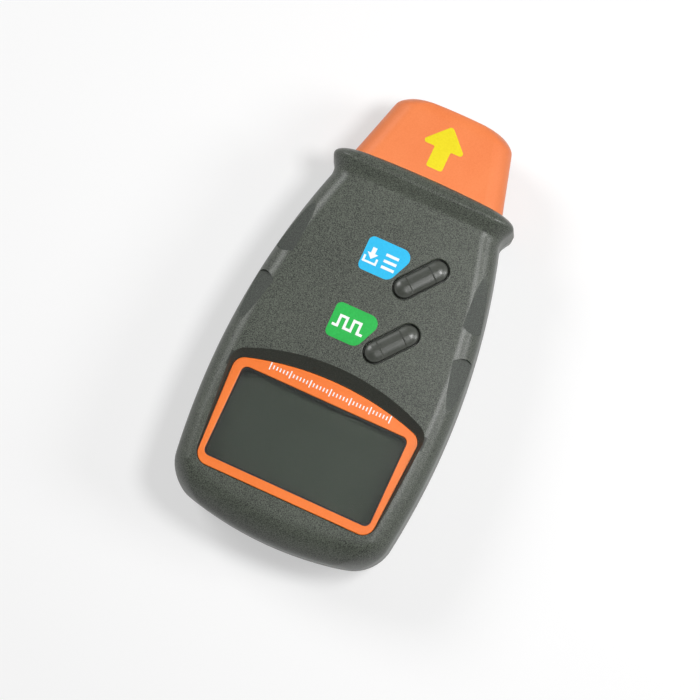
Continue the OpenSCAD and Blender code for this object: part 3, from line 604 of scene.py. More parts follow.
def obround(run, radius, steps=16, run_steps=6):
    """Outline with two straight sides along X and round ends."""
    first = arc(run / 2, 0, radius, -90, 90, steps)
    first += [(lerp(run / 2, -run / 2, i / run_steps), radius) for i in range(1, run_steps)]
    return first + [(-x, -y) for x, y in first]


def window_outline(grow=0.0):
    half = WINDOW[0] / 2 + grow
    low = BOTTOM_BAR - grow
    high = BOTTOM_BAR + WINDOW[1] + grow
    return rounded([(-half, low), (half, low), (half, high), (-half, high)], [WINDOW_CORNER] * 4)


ON_DISPLAY = Matrix.Translation((0, FRAME_Y, FACE_Z - BOTTOM_SINK)) @ Matrix.Rotation(-DISPLAY_TILT, 4, "X")
FRAME_OUTLINE = arched(*FRAME_SIZES)
RECESS_OUTLINE = arched(*RECESS_SIZES, foot=RECESS_FOOT)


def placed(outline, matrix, z=0.0):
    return [tuple(matrix @ Vector((x, y, z))) for x, y in outline]


def prism(outline, matrix, low, high):
    return skin("prism", [placed(outline, matrix, z) for z in (low, high)])


def display_prism(outline, low, high):
    """Upright solid over an outline of the display."""
    return skin("prism", [[(x, y + FRAME_Y, z) for x, y in outline] for z in (low, high)])


def button_matrix(y):
    return Matrix.Translation((BUTTON_X, y, 0)) @ Matrix.Rotation(BUTTON_ANGLE, 4, "Z")


def plate(name, outlines, thickness, bevel, steps):
    """Flat plate with rounded rims; outlines inside the first are holes. Its front is at Z = 0."""
    flat = bpy.data.curves.new(name, "CURVE")
    flat.dimensions = "2D"
    flat.fill_mode = "BOTH"
    flat.extrude = thickness / 2 - bevel
    flat.bevel_depth = bevel
    flat.bevel_resolution = steps
    flat.offset = -bevel
    for outline in outlines:
        line = flat.splines.new("POLY")
        line.points.add(len(outline) - 1)
        for point, (x, y) in zip(line.points, outline):
            point.co = (x, y, 0, 1)
        line.use_cyclic_u = True
    source = put_in_scene(name, flat)
    mesh = finished_mesh(source)
    bpy.data.objects.remove(source)
    mesh.transform(Matrix.Translation((0, 0, -thickness / 2)))
    turn_outwards(mesh, 1e-5)
    return smooth_off(put_in_scene(name, mesh), PLATE_CRISP)


def join(pieces):
    """One object from several."""
    mesh = bpy.data.meshes.new("joined")
    with edited(mesh) as work:
        for piece in pieces:
            work.from_mesh(piece.data)
    for piece in pieces:
        bpy.data.objects.remove(piece)
    return smooth_off(put_in_scene("joined", mesh), PLATE_CRISP)


# Node trees

def plug(tree, node, inputs):
    """Sets a node's inputs, each to a value, another node's output or a list of outputs."""
    for name, value in inputs.items():
        sources = value if isinstance(value, list) else [value]
        if isinstance(sources[0], bpy.types.NodeSocket):
            for source in sources:
                tree.links.new(source, node.inputs[name])
        else:
            node.inputs[name].default_value = value


def add(tree, kind, inputs, output=0, **settings):
    """Adds a node with its settings and inputs, and gives one of its outputs."""
    node = tree.nodes.new(kind)
    for name, value in settings.items():
        setattr(node, name, value)
    plug(tree, node, inputs)
    return node.outputs[output]


def node_tree(name, inputs):
    """New geometry tree with named inputs, and the outputs of its first node."""
    tree = bpy.data.node_groups.new(name, "GeometryNodeTree")
    for way in ("INPUT", "OUTPUT"):
        tree.interface.new_socket("Geometry", in_out=way, socket_type="NodeSocketGeometry")
    for label, kind in inputs.items():
        tree.interface.new_socket(label, in_out="INPUT", socket_type="NodeSocket" + kind)
    return tree, tree.nodes.new("NodeGroupInput").outputs


def finish_tree(tree, given, geometry):
    """Ends a tree in Realize Instances and Set Material."""
    real = add(tree, "GeometryNodeRealizeInstances", {"Geometry": geometry})
    painted = add(tree, "GeometryNodeSetMaterial", {"Geometry": real, "Material": given["Material"]})
    plug(tree, tree.nodes.new("NodeGroupOutput"), {0: painted})
    return tree


def grow_tree(name, tree, base, values):
    """Runs a tree on a mesh and keeps the result as a plain mesh."""
    source = put_in_scene(name, base)
    step = source.modifiers.new(name, "NODES")
    step.node_group = tree
    for item in tree.interface.items_tree:
        if item.in_out == "INPUT" and item.name in values:
            step[item.identifier] = values[item.name]
    return settle(source)


def bar_row_tree():
    """Row of upright bars along X; all but every Nth are shortened."""
    tree, given = node_tree("bar row", {
        "Count": "Int", "Pitch": "Float", "Bar Size": "Vector",
        "Long Every": "Int", "Short Part": "Float", "Material": "Material",
    })
    step = add(tree, "ShaderNodeCombineXYZ", {"X": given["Pitch"]})
    row = add(tree, "GeometryNodeMeshLine", {"Count": given["Count"], "Offset": step})
    index = add(tree, "GeometryNodeInputIndex", {})
    turn = add(tree, "ShaderNodeMath", {0: index, 1: given["Long Every"]}, operation="MODULO")
    is_long = add(tree, "ShaderNodeMath", {0: turn, 1: 0.5}, operation="LESS_THAN")
    part = {"Factor": is_long, "A": given["Short Part"], "B": 1.0}
    tall = add(tree, "ShaderNodeMix", part, data_type="FLOAT")
    scale = add(tree, "ShaderNodeCombineXYZ", {"X": 1.0, "Y": tall, "Z": 1.0})
    shape = add(tree, "GeometryNodeMeshCube", {"Size": given["Bar Size"]})
    copies = add(tree, "GeometryNodeInstanceOnPoints", {"Points": row, "Instance": shape, "Scale": scale})
    return finish_tree(tree, given, copies)


def screw_tree():
    """Cross-recessed screws on the points of a mesh: heads down, shanks up."""
    sizes = ("Head Radius", "Head Height", "Rim", "Shank Radius", "Shank Length")
    sizes += ("Cross Length", "Cross Width", "Cross Depth")
    tree, given = node_tree("screws", {**{size: "Float" for size in sizes}, "Material": "Material"})

    def worked_out(operation, a, b):
        return add(tree, "ShaderNodeMath", {0: a, 1: b}, operation=operation)

    def lifted(shape, z):
        lift = add(tree, "ShaderNodeCombineXYZ", {"Z": z})
        return add(tree, "GeometryNodeTransform", {"Geometry": shape, "Translation": lift})

    def round_bar(bottom, top, depth, low):
        cone = {"Vertices": SCREW_SIDES, "Radius Top": top, "Radius Bottom": bottom, "Depth": depth}
        return lifted(add(tree, "GeometryNodeMeshCone", cone), low)

    head, height, rim, shank, length = (given[size] for size in sizes[:5])
    side = worked_out("SUBTRACT", height, rim)
    rim_low = worked_out("MULTIPLY", height, -1.0)
    solids = [
        round_bar(head, head, side, worked_out("MULTIPLY", side, -1.0)),
        round_bar(worked_out("SUBTRACT", head, rim), head, rim, rim_low),
        round_bar(shank, shank, length, 0.0),
    ]
    whole = add(tree, "GeometryNodeMeshBoolean", {"Mesh 2": solids}, operation="UNION", solver="EXACT")
    deep = worked_out("MULTIPLY", given["Cross Depth"], 2.0)
    slots = []
    for x, y in (("Cross Length", "Cross Width"), ("Cross Width", "Cross Length")):
        size = add(tree, "ShaderNodeCombineXYZ", {"X": given[x], "Y": given[y], "Z": deep})
        slots.append(lifted(add(tree, "GeometryNodeMeshCube", {"Size": size}), rim_low))
    meshes = {"Mesh 1": whole, "Mesh 2": slots}
    screw = add(tree, "GeometryNodeMeshBoolean", meshes, operation="DIFFERENCE", solver="EXACT")
    copies = add(tree, "GeometryNodeInstanceOnPoints", {"Points": given["Geometry"], "Instance": screw})
    return finish_tree(tree, given, copies)


# Materials

def srgb(r, g, b):
    """Linear colour from eight bit values as seen."""
    values = []
    for value in (r, g, b):
        part = value / 255
        values.append(part / 12.92 if part <= 0.04045 else ((part + 0.055) / 1.055) ** 2.4)
    return (*values, 1.0)


def empty_material(name):
    """New material, its node tree and the place on the object."""
    material = bpy.data.materials.new(name)
    material.use_nodes = True
    tree = material.node_tree
    return material, tree, add(tree, "ShaderNodeTexCoord", {}, "Object")


def plug_shader(tree, inputs):
    plug(tree, tree.nodes["Principled BSDF"], inputs)


def noise(tree, place, scale, detail=2.0, roughness=0.5):
    inputs = {"Vector": place, "Scale": scale, "Detail": detail, "Roughness": roughness}
    return add(tree, "ShaderNodeTexNoise", inputs, "Fac")


def ramp(tree, value, stops):
    colour = add(tree, "ShaderNodeValToRGB", {"Fac": value})
    elements = colour.node.color_ramp.elements
    elements[0].position, elements[0].color = stops[0]
    elements[1].position, elements[1].color = stops[-1]
    for position, tone in stops[1:-1]:
        elements.new(position).color = tone
    return colour


def ranged(tree, value, low, high, start=0.0, end=1.0):
    inputs = {"Value": value, "From Min": start, "From Max": end, "To Min": low, "To Max": high}
    return add(tree, "ShaderNodeMapRange", inputs)


def moulded(name, dark, light, grain, depth, rough, specular, speckle):
    """Moulded plastic with a fine grain: colour speckle, bump and uneven gloss."""
    material, tree, place = empty_material(name)
    fine = noise(tree, place, grain, 3.0, 0.6)
    broad = noise(tree, place, 45.0, 3.0)
    mix = add(tree, "ShaderNodeMix", {"Factor": speckle, "A": broad, "B": fine}, data_type="FLOAT")
    plug_shader(tree, {
        "Base Color": ramp(tree, mix, [(0.36, srgb(*dark)), (0.64, srgb(*light))]),
        "Roughness": ranged(tree, fine, *rough, 0.3, 0.7),
        "Specular IOR Level": specular,
        "Normal": add(tree, "ShaderNodeBump", {"Strength": 0.9, "Distance": depth, "Height": fine}),
    })
    return material


def ink(name, dark, light, rough=(0.4, 0.5)):
    return moulded(name, dark, light, 1800.0, 0.000008, rough, 0.4, 0.5)


def plain(name, dark, light, depth=0.00001, rough=(0.4, 0.5)):
    return moulded(name, dark, light, 1400.0, depth, rough, 0.5, 0.5)


def metal(name, colour, rough, streak):
    """Metal with fine turning streaks."""
    material, tree, place = empty_material(name)
    stretch = add(tree, "ShaderNodeMapping", {"Vector": place, "Scale": streak})
    lines = noise(tree, stretch, 900.0, 3.0)
    bright = srgb(*colour)
    shade = tuple(part * 0.8 for part in bright[:3]) + (1.0,)
    plug_shader(tree, {
        "Base Color": ramp(tree, lines, [(0.3, shade), (0.7, bright)]),
        "Roughness": ranged(tree, lines, *rough),
        "Metallic": 1.0,
    })
    return material


def clear(name, colour, rough, ior):
    """Clear plastic or glass with faint unevenness."""
    material, tree, place = empty_material(name)
    plug_shader(tree, {
        "Base Color": colour,
        "Roughness": ranged(tree, noise(tree, place, 120.0), *rough),
        "Transmission Weight": 1.0,
        "IOR": ior,
    })
    return material


def board_finish(name):
    """Solder mask with copper tracks under it."""
    material, tree, place = empty_material(name)
    tracks = {
        "Vector": place, "Scale": 260.0, "Mortar Size": 0.03,
        "Color1": srgb(16, 92, 52), "Color2": srgb(20, 104, 60), "Mortar": srgb(46, 138, 84),
    }
    plug_shader(tree, {
        "Base Color": add(tree, "ShaderNodeTexBrick", tracks),
        "Roughness": ranged(tree, noise(tree, place, 300.0), 0.25, 0.4),
    })
    return material


def battery_finish(name):
    """Jacket of a block battery along Y: a dark sleeve, then copper colour, then a steel end."""
    material, tree, place = empty_material(name)
    y = add(tree, "ShaderNodeSeparateXYZ", {"Vector": place}, "Y")
    along = ranged(tree, y, 0.0, 1.0, -0.062, -0.0156)
    sleeve = srgb(30, 32, 36)
    copper = srgb(186, 120, 62)
    stops = [(0.0, sleeve), (0.66, sleeve), (0.665, copper), (0.985, copper), (0.99, srgb(190, 190, 192))]
    plug_shader(tree, {
        "Base Color": ramp(tree, along, stops),
        "Roughness": ranged(tree, noise(tree, place, 400.0, 4.0), 0.28, 0.42),
        "Metallic": 0.35,
    })
    return material


def screen_finish(name):
    """Switched-off liquid crystal glass: dark grey-green, faintly cloudy."""
    material, tree, place = empty_material(name)
    cloud = noise(tree, place, 25.0)
    plug_shader(tree, {
        "Base Color": ramp(tree, cloud, [(0.3, srgb(66, 73, 65)), (0.7, srgb(74, 81, 72))]),
        "Roughness": ranged(tree, cloud, 0.36, 0.44),
        "Specular IOR Level": 0.25,
    })
    return material


# Dark and light tone, grain per metre, depth of the grain, roughness, specular level and speckle
CASE_FINISH = moulded("grained case", (14, 16, 14), (96, 102, 91), 3600.0, 0.00003, (0.34, 0.44), 0.5, 0.92)
# The recess band's darker tones are painted shade on the recess's sloping wall
RECESS_PAINTED_SHADE = moulded("recess painted shade", (32, 35, 30), (54, 57, 51), 4000.0, 0.00002, (0.42, 0.52), 0.3, 0.9)
GRIP_FINISH = moulded("grip facet", (22, 25, 22), (78, 84, 76), 4000.0, 0.00003, (0.36, 0.46), 0.42, 0.9)
NOSE_FINISH = moulded("orange nose", (231, 122, 66), (240, 136, 80), 2200.0, 0.00002, (0.38, 0.5), 0.4, 0.4)
FRAME_FINISH = moulded("orange frame", (238, 118, 44), (245, 128, 56), 1500.0, 0.00001, (0.3, 0.4), 0.45, 0.4)
BUTTON_FINISH = moulded("button rubber", (56, 59, 53), (68, 71, 65), 1600.0, 0.00001, (0.28, 0.38), 0.6, 0.4)
BLACK_PLASTIC = plain("black plastic", (18, 18, 19), (30, 30, 31), 0.00002, (0.45, 0.6))
WHITE_PLASTIC = plain("white plastic", (214, 214, 208), (228, 228, 222))
RED_JACKET = plain("red lead", (168, 22, 18), (190, 30, 24))
BLUE_PRINT = ink("blue print", (26, 180, 230), (38, 193, 242))
GREEN_PRINT = ink("green print", (22, 170, 66), (36, 190, 80))
WHITE_PRINT = ink("white print", (236, 238, 238), (250, 250, 250))
YELLOW_PRINT = ink("yellow print", (228, 208, 16), (238, 221, 30), (0.35, 0.45))
STEEL = metal("bright steel", (196, 197, 200), (0.25, 0.4), (1.0, 0.08, 1.0))
BRASS = metal("turned brass", (212, 172, 96), (0.22, 0.36), (0.1, 1.0, 0.1))
TIN = metal("tin can", (206, 206, 208), (0.2, 0.32), (1.0, 1.0, 0.1))
PANE = clear("clear pane", (0.97, 0.985, 0.975, 1.0), (0.02, 0.06), 1.45)
LENS = clear("lens glass", (0.9, 0.93, 0.97, 1.0), (0.0, 0.02), 1.52)
SCREEN = screen_finish("dark screen")
BOARD = board_finish("solder mask")
JACKET = battery_finish("battery sleeve")


# Case halves, cover and nose

def case_solid():
    places = quarter_places(Y_END, END_ROUND, 12)
    places += spread(Y_ROUND, Y_NECK, 44)
    places += spread(Y_NECK, Y_CREST, 14)
    places += [Y_CREST + COLLAR_SHOULDER * math.sin(math.pi / 2 * i / 14) for i in range(1, 15)]
    rings = bottom_rings(Y_END, 0.0, (0.05, 0.2, 0.35, 0.5, 0.65, 0.8, 0.92))
    rings += [case_ring(y) for y in places]
    return skin("case", rings)


def cavity():
    start = Y_END + WALL
    rings = bottom_rings(start, WALL, (0.1, 0.4, 0.7))
    places = quarter_places(start, END_ROUND - WALL, 6)
    places += spread(Y_ROUND, Y_NECK, 12) + spread(Y_NECK, Y_CREST, 5)
    rings += [case_ring(y, WALL) for y in places]
    rings.append([(x, Y_POCKET, z) for x, _, z in case_ring(Y_CREST, WALL)])
    return skin("cavity", rings)


def lip_opening():
    return skin("lip opening", [nose_ring(y, FIT_GAP) for y in (Y_POCKET - OVER, Y_LIP + OVER)])


def end_groove():
    """V groove along the joint round the bottom end, in line with those of the sides."""
    side = []
    for y in quarter_places(Y_END, END_ROUND, 12):
        half = case_half(y)
        side.append((half, y + bow_at(y) * half ** 2 / (2 * END_RADIUS)))
    reach = case_half(Y_END)
    path = side[::-1]
    path += [(x, Y_END + x * x / (2 * END_RADIUS)) for x in spread(reach, -reach, 24)]
    path += [(-x, y) for x, y in side[1:]]
    rise = SEAM + OVER
    rings = []
    for i, point in enumerate(path):
        before = Vector(path[max(i - 1, 0)])
        ahead = Vector(path[min(i + 1, len(path) - 1)])
        along = (ahead - before).normalized()
        outwards = Vector((-along.y, along.x))
        deep = Vector(point) - outwards * SEAM
        wide = Vector(point) + outwards * OVER
        rings.append([
            (*deep, JOINT_Z - GROOVE_FLAT), (*wide, JOINT_Z - rise),
            (*wide, JOINT_Z + rise), (*deep, JOINT_Z + GROOVE_FLAT),
        ])
    return skin("groove", rings)


def recess_cutter():
    """Sloping recess round the display with a rounded upper edge."""
    foot = grown(FRAME_OUTLINE, 2 * FIT_GAP)
    rings = [placed(foot, ON_DISPLAY, z) for z in (-TOUCH, 0.0)]
    at_face = Matrix.Translation((0, FRAME_Y, FACE_Z))
    for i in range(RIM_STEPS):
        a = math.radians(RECESS_TURN * i / (RIM_STEPS - 1))
        rise = ROUND_EDGE * RECESS_RISE * (math.sin(a) - 1)
        out = ROUND_EDGE * (1 - math.cos(a)) - ROUND_EDGE
        rings.append(placed(grown(RECESS_OUTLINE, out), at_face, min(rise, -TOUCH)))
    rings.append(placed(grown(RECESS_OUTLINE, TOUCH), at_face, OVER))
    return skin("recess", rings)


def button_cutter(y):
    """Button opening with a rounded rim."""
    outline = obround(BUTTON_RUN, BUTTON_RADIUS + BUTTON_GAP)
    start = FACE_Z - ROUND_EDGE
    profile = [(0.0, BUTTON_RIM_Z[1] - OVER), (0.0, start)]
    profile += [(out, start + rise) for out, rise in rim_profile()]
    profile.append((ROUND_EDGE, FACE_Z + OVER))
    return skin("button opening", [placed(grown(outline, out), button_matrix(y), z) for out, z in profile])


def grip_matrix(y, turn, side):
    mirror = Matrix.Scale(side, 4, (1, 0, 0))
    place = Matrix.Translation((side_half(y) - GRIP_INSET, y, FACE_Z))
    return mirror @ place @ Matrix.Rotation(turn, 4, "Z") @ Matrix.Rotation(GRIP_SLOPE, 4, "Y")


def grip_cutter(y, turn, up, side):
    outline = arc(GRIP_END_SHIFT, GRIP_END, GRIP_END, 180, 360, GRIP_STEPS)
    outline += [(GRIP_END_SHIFT + way * GRIP_END, GRIP_END + GRIP_LENGTH) for way in (1, -1)]
    outline = [(x, up * along) for x, along in outline]
    return prism(outline, grip_matrix(y, turn, side), 0.0, GRIP_CUT)


def front_half():
    hollow = cavity()
    keep = [display_prism(grown(arched(*RECESS_SIZES), WELL_WIDTH), WELL_Z, FACE_Z)]
    keep += bars(SCREW_PLACES, BOSS_RADIUS, 0, FACE_Z)
    keep += bars(POST_PLACES, POST_RADIUS, BOARD_TOP, FACE_Z)
    combine(hollow, keep)
    front = halve(case_solid(), True)
    cuts = [hollow, lip_opening(), end_groove(), recess_cutter()]
    pocket = FRAME_THICKNESS + PANE_THICKNESS
    cuts.append(prism(grown(FRAME_OUTLINE, FIT_GAP), ON_DISPLAY, -pocket, OVER))
    cuts.append(display_prism(window_outline(), WELL_Z - OVER, FACE_Z))
    cuts += [button_cutter(UPPER_BUTTON_Y), button_cutter(LOWER_BUTTON_Y)]
    cuts += [grip_cutter(*grip, side) for grip in GRIPS for side in (1, -1)]
    cuts += bars(SCREW_PLACES, SCREW_SHANK[0] + FIT_GAP / 2, 0, SCREW_SEAT + SCREW_SHANK[1] + OVER)
    return combine(front, cuts)


def inside(outline, x, y):
    """Whether a point lies within a closed outline."""
    found = False
    for (x0, y0), (x1, y1) in zip(outline, outline[1:] + outline[:1]):
        if (y0 > y) != (y1 > y) and x < x0 + (x1 - x0) * (y - y0) / (y1 - y0):
            found = not found
    return found


def mark_grips_and_recess_shade(front):
    """Gives the grip facets the second material and the recess round the display the third, a darker tone
    that is painted shade on the recess's sloping wall.
    """
    same_way = 0.9995
    near_plane = 0.02
    below_face = 0.03
    least_rise = 0.1
    grips = []
    for y, turn, _ in GRIPS:
        for side in (1, -1):
            matrix = grip_matrix(y, turn, side)
            grips.append((matrix.to_3x3() @ Vector((0, 0, 1)), matrix.translation))
    for face in front.data.polygons:
        middle = face.center
        for normal, spot in grips:
            if face.normal.dot(normal) > same_way and abs((middle - spot).dot(normal)) < near_plane:
                face.material_index = 1
        # Faces of the sloping recess wall take the darker material, as painted shade
        sunk = WELL_Z < middle.z < FACE_Z - below_face and face.normal.z > least_rise
        if sunk and inside(RECESS_OUTLINE, middle.x, middle.y - FRAME_Y):
            face.material_index = 2


def well_cutter(place):
    """Screw well in the back with a rounded rim."""
    profile = [(WELL_RADIUS, SCREW_SEAT), (WELL_RADIUS, ROUND_EDGE)]
    profile += [(WELL_RADIUS + out, ROUND_EDGE - rise) for out, rise in rim_profile()]
    profile.append((WELL_RADIUS + ROUND_EDGE, -OVER))
    return turned(place, profile)


def rear_half():
    hollow = cavity()
    outer = BAY_HALF + BAY_WALL
    bay_top = BAY_END + BAY_END_WALL
    keep = [
        block((-outer, Y_END, 0), (-BAY_HALF, bay_top, JOINT_Z)),
        block((BAY_HALF, Y_END, 0), (outer, bay_top, JOINT_Z)),
        block((-outer, BAY_END, 0), (outer, bay_top, BAY_END_HEIGHT)),
    ]
    combine(hollow, keep + bars(SCREW_PLACES, COLUMN_RADIUS, 0, JOINT_Z))
    rear = halve(case_solid(), False)
    half = PANEL_HALF + SLIDE_GAP
    groove = PANEL_HALF + TONGUE_WIDTH + SLIDE_GAP
    outside = Y_END - OVER
    cuts = [
        hollow,
        lip_opening(),
        end_groove(),
        block((-half, outside, -OVER), (half, BAY_END, COVER_LEDGE)),
        block((-groove, outside, COVER_LEDGE), (groove, BAY_END + TONGUE_WIDTH + SLIDE_GAP, BATTERY_Z)),
        block((-half, outside, -OVER), (half, Y_END + COVER_END + SLIDE_GAP, COVER_END_HEIGHT + SLIDE_GAP)),
        block((-BAY_HALF, Y_END + COVER_END, COVER_LEDGE), (BAY_HALF, BAY_END, BATTERY_MID_Z)),
    ]
    for place in SCREW_PLACES:
        cuts.append(well_cutter(place))
        cuts += bars([place], SCREW_SHANK[0] + FIT_GAP, 0, JOINT_Z + OVER)
    return close_up(combine(rear, cuts))


def sliding_cover(bar_row):
    panel_end = BAY_END - SLIDE_GAP
    tongue = PANEL_HALF + TONGUE_WIDTH
    outside = Y_END - OVER
    shape = block((-PANEL_HALF, outside, COVER_INSET), (PANEL_HALF, panel_end, COVER_TOP))
    combine(shape, [
        block((-PANEL_HALF, outside, 0), (PANEL_HALF, Y_END + COVER_END, COVER_END_HEIGHT)),
        block((-tongue, Y_END + COVER_END, TONGUE_Z), (tongue, panel_end + TONGUE_WIDTH, COVER_TOP)),
    ], "UNION")
    cover = combine(case_solid(), [shape], "INTERSECT")
    grooves = grow_tree("grooves", bar_row, bpy.data.meshes.new("grooves"), {
        "Count": GROOVE_COUNT, "Pitch": GROOVE_PITCH, "Bar Size": GROOVE_SIZE,
        "Long Every": 1, "Short Part": 1.0, "Material": CASE_FINISH,
    })
    first_groove = Matrix.Translation((0, panel_end - GROOVE_FROM_TOP, COVER_INSET))
    grooves.data.transform(first_groove @ Matrix.Rotation(-math.pi / 2, 4, "Z"))
    return combine(cover, [grooves])


def nose():
    rim_front = Y_POCKET - SEAT_GAP
    rim_back = rim_front - RIM[1]
    inner_tip = Y_TIP - TIP_WALL
    corner = [Y_TIP - TIP_CORNER * (1 - math.cos(math.pi / 2 * i / 14)) for i in range(14, -1, -1)]
    start = rim_back + RIM[1] / 3
    places = [start] + spread(start, corner[0], 14) + corner[1:]
    rings = [nose_ring(y, 0) for y in places]
    last = rings[-1]
    bow = -1 / (2 * TIP_RADIUS)
    rings += [end_ring(last, Y_TIP, OPTICS_Z, bow, part) for part in (0.9, 0.75, 0.5, 0.25, 0.05)]
    made = skin("nose", rings)
    combine(made, [skin("rim", [nose_ring(y, RIM[0]) for y in (rim_back, rim_front)])], "UNION")
    hollow_places = (rim_back - OVER, Y_TIP - TIP_CORNER, inner_tip)
    hollow = skin("hollow", [nose_ring(y, -NOSE_WALL) for y in hollow_places])
    outline = obround(APERTURE[0] - APERTURE[1], APERTURE[1] / 2)
    stand = Matrix.Translation((0, 0, OPTICS_Z)) @ Matrix.Rotation(math.pi / 2, 4, "X")
    profile = [(0.0, inner_tip - OVER), (0.0, Y_TIP - ROUND_EDGE)]
    profile += [(out, Y_TIP - ROUND_EDGE + rise) for out, rise in rim_profile()]
    profile.append((ROUND_EDGE, Y_TIP + OVER))
    slot = skin("aperture", [placed(grown(outline, out), stand, -y) for out, y in profile])
    return combine(made, [hollow, slot])


front = smooth_off(front_half(), CASE_CRISP)
paint(front, [CASE_FINISH, GRIP_FINISH, RECESS_PAINTED_SHADE])
mark_grips_and_recess_shade(front)
dress(front, "grained_front", [], "case", "case_grey", "front_case")

rear = smooth_off(rear_half(), CASE_CRISP)
dress(rear, "grained_back", [CASE_FINISH], "case", "case_grey", "rear_case")

bar_row = bar_row_tree()
cover = smooth_off(sliding_cover(bar_row), CASE_CRISP)
dress(cover, "sliding_cover", [CASE_FINISH], "cover", "case_grey", "battery_cover")

nose_piece = smooth_off(nose(), CASE_CRISP)
dress(nose_piece, "orange_nose", [NOSE_FINISH], "case", "nose_orange", "nose_cap")


# Display

rim = plate("frame", [FRAME_OUTLINE, window_outline()], FRAME_THICKNESS, FRAME_BEVEL, 3)
rim.data.transform(ON_DISPLAY)
dress(rim, "display_rim", [FRAME_FINISH], "case", "frame_orange", "display_frame")

# Black ring on the pane along the window's edge: painted shadow of the frame's inner wall
shadow_ring_outlines = [window_outline(SHADOW_RING_OVERLAP), window_outline(-SHADOW_RING_WIDTH)]
mask = plate("mask", shadow_ring_outlines, SHADOW_RING_THICKNESS, PRINT_BEVEL, 1)
mask.data.transform(ON_DISPLAY @ Matrix.Translation((0, 0, -FRAME_THICKNESS)))
dress(mask, "painted_frame_shadow", [BLACK_PLASTIC], "case", "clear_pane")

pane = plate("pane", [FRAME_OUTLINE], PANE_THICKNESS - SHADOW_RING_THICKNESS, PANE_BEVEL, 2)
pane.data.transform(ON_DISPLAY @ Matrix.Translation((0, 0, -FRAME_THICKNESS - SHADOW_RING_THICKNESS)))
dress(pane, "clear_pane", [PANE], "case", "clear_pane", "display_window")


# Buttons

def scoop_drop(x):
    """How far the scoop lowers the top of a button at a place along it."""
    return SCOOP_DEPTH * ease((SCOOP_LENGTH / 2 + SCOOP_STEP - abs(x)) / (2 * SCOOP_STEP))


def button_piece(y):
    """Button with round ends, a domed top and a scoop between two cross steps."""
    half = BUTTON_RUN / 2
    scoop = SCOOP_LENGTH / 2
    stops = [-half * BUTTON_SHOULDER, -scoop - SCOOP_STEP, -scoop, -scoop + SCOOP_STEP, -scoop / 2, 0]
    stops += [-value for value in reversed(stops[:-1])]
    medial = [(half, *way) for way in arc(0, 0, 1, -90, 90, BUTTON_STEPS)]
    medial += [(value, 0.0, 1.0) for value in reversed(stops)]
    medial += [(-half, *way) for way in arc(0, 0, 1, 90, 270, BUTTON_STEPS)]
    medial += [(value, 0.0, -1.0) for value in stops]
    place = button_matrix(y)
    foot = FACE_Z + BUTTON_RISE - BUTTON_DOME
    wide = BUTTON_RADIUS + BUTTON_RIM
    profile = [(wide, BUTTON_RIM_Z[0]), (wide, BUTTON_RIM_Z[1])]
    profile += [(BUTTON_RADIUS, BUTTON_RIM_Z[1]), (BUTTON_RADIUS, foot - 2 * SCOOP_DEPTH)]
    rings = []
    for radius, z in profile:
        rings.append([tuple(place @ Vector((x + radius * dx, radius * dy, z))) for x, dx, dy in medial])
    for i in range(BUTTON_STEPS + 1):
        a = math.radians(min(90 * i / BUTTON_STEPS, BUTTON_TOP_TURN))
        radius = BUTTON_RADIUS * math.cos(a)
        ring = []
        for x, dx, dy in medial:
            along = x + radius * dx
            z = foot + BUTTON_DOME * math.sin(a) - scoop_drop(along)
            ring.append(tuple(place @ Vector((along, radius * dy, z))))
        rings.append(ring)
    count = len(medial)
    ends = BUTTON_STEPS + 1
    top = list(range((len(rings) - 1) * count, len(rings) * count))
    right = top[:ends]
    left = top[ends + len(stops):2 * ends + len(stops)]
    above = [right[-1]] + top[ends:ends + len(stops)] + [left[0]]
    below = [right[0]] + top[:-len(stops) - 1:-1] + [left[-1]]
    faces = side_faces(rings) + [tuple(range(count)), tuple(right), tuple(left)]
    for i in range(len(above) - 1):
        faces.append((above[i], above[i + 1], below[i + 1], below[i]))
    return mesh_piece("button", [point for ring in rings for point in ring], faces)


for name, y, body, node in (
    ("store_push", UPPER_BUTTON_Y, "store_key", "store_button"),
    ("measure_push", LOWER_BUTTON_Y, "measure_key", "measure_button"),
):
    push = smooth_off(button_piece(y), BUTTON_CRISP)
    dress(push, name, [BUTTON_FINISH], body, "button_grey", node)


# Printed marks

def printed(name, outlines, matrix, material, slot):
    marks = [plate(name, [outline], PRINT, PRINT_BEVEL, 1) for outline in outlines]
    made = join(marks) if len(marks) > 1 else marks[0]
    made.data.transform(matrix)
    dress(made, name, [material], "case", slot)


def tag_outline(left, right, low, high):
    """Tag with a slanted right side along its button."""
    slant = TAG_SLANT * (high - low) / math.tan(BUTTON_ANGLE)
    return rounded([(left, low), (right - slant, low), (right, high), (left, high)], TAG_CORNERS)


def strip(points, width):
    """Outline of a line of constant width through points."""
    sides = ([], [])
    for i, point in enumerate(points):
        before = Vector(points[max(i - 1, 0)])
        ahead = Vector(points[min(i + 1, len(points) - 1)])
        here = Vector(point)
        first = (here - before).normalized() if i else (ahead - here).normalized()
        second = (ahead - here).normalized() if i < len(points) - 1 else first
        normal_a = Vector((-first.y, first.x))
        normal_b = Vector((-second.y, second.x))
        miter = (normal_a + normal_b).normalized()
        reach = width / 2 / miter.dot(normal_a)
        sides[0].append(tuple(here + miter * reach))
        sides[1].append(tuple(here - miter * reach))
    return sides[1] + sides[0][::-1]


def shifted(points, place):
    return [(x + place[0], y + place[1]) for x, y in points]


ON_FACE = Matrix.Translation((0, 0, FACE_Z + PRINT))
ON_TAG = Matrix.Translation((0, 0, FACE_Z + 2 * PRINT - PRINT_BEVEL))
printed("store_tag", [tag_outline(*STORE_TAG)], ON_FACE, BLUE_PRINT, "case_grey")
printed("measure_tag", [tag_outline(*MEASURE_TAG)], ON_FACE, GREEN_PRINT, "case_grey")

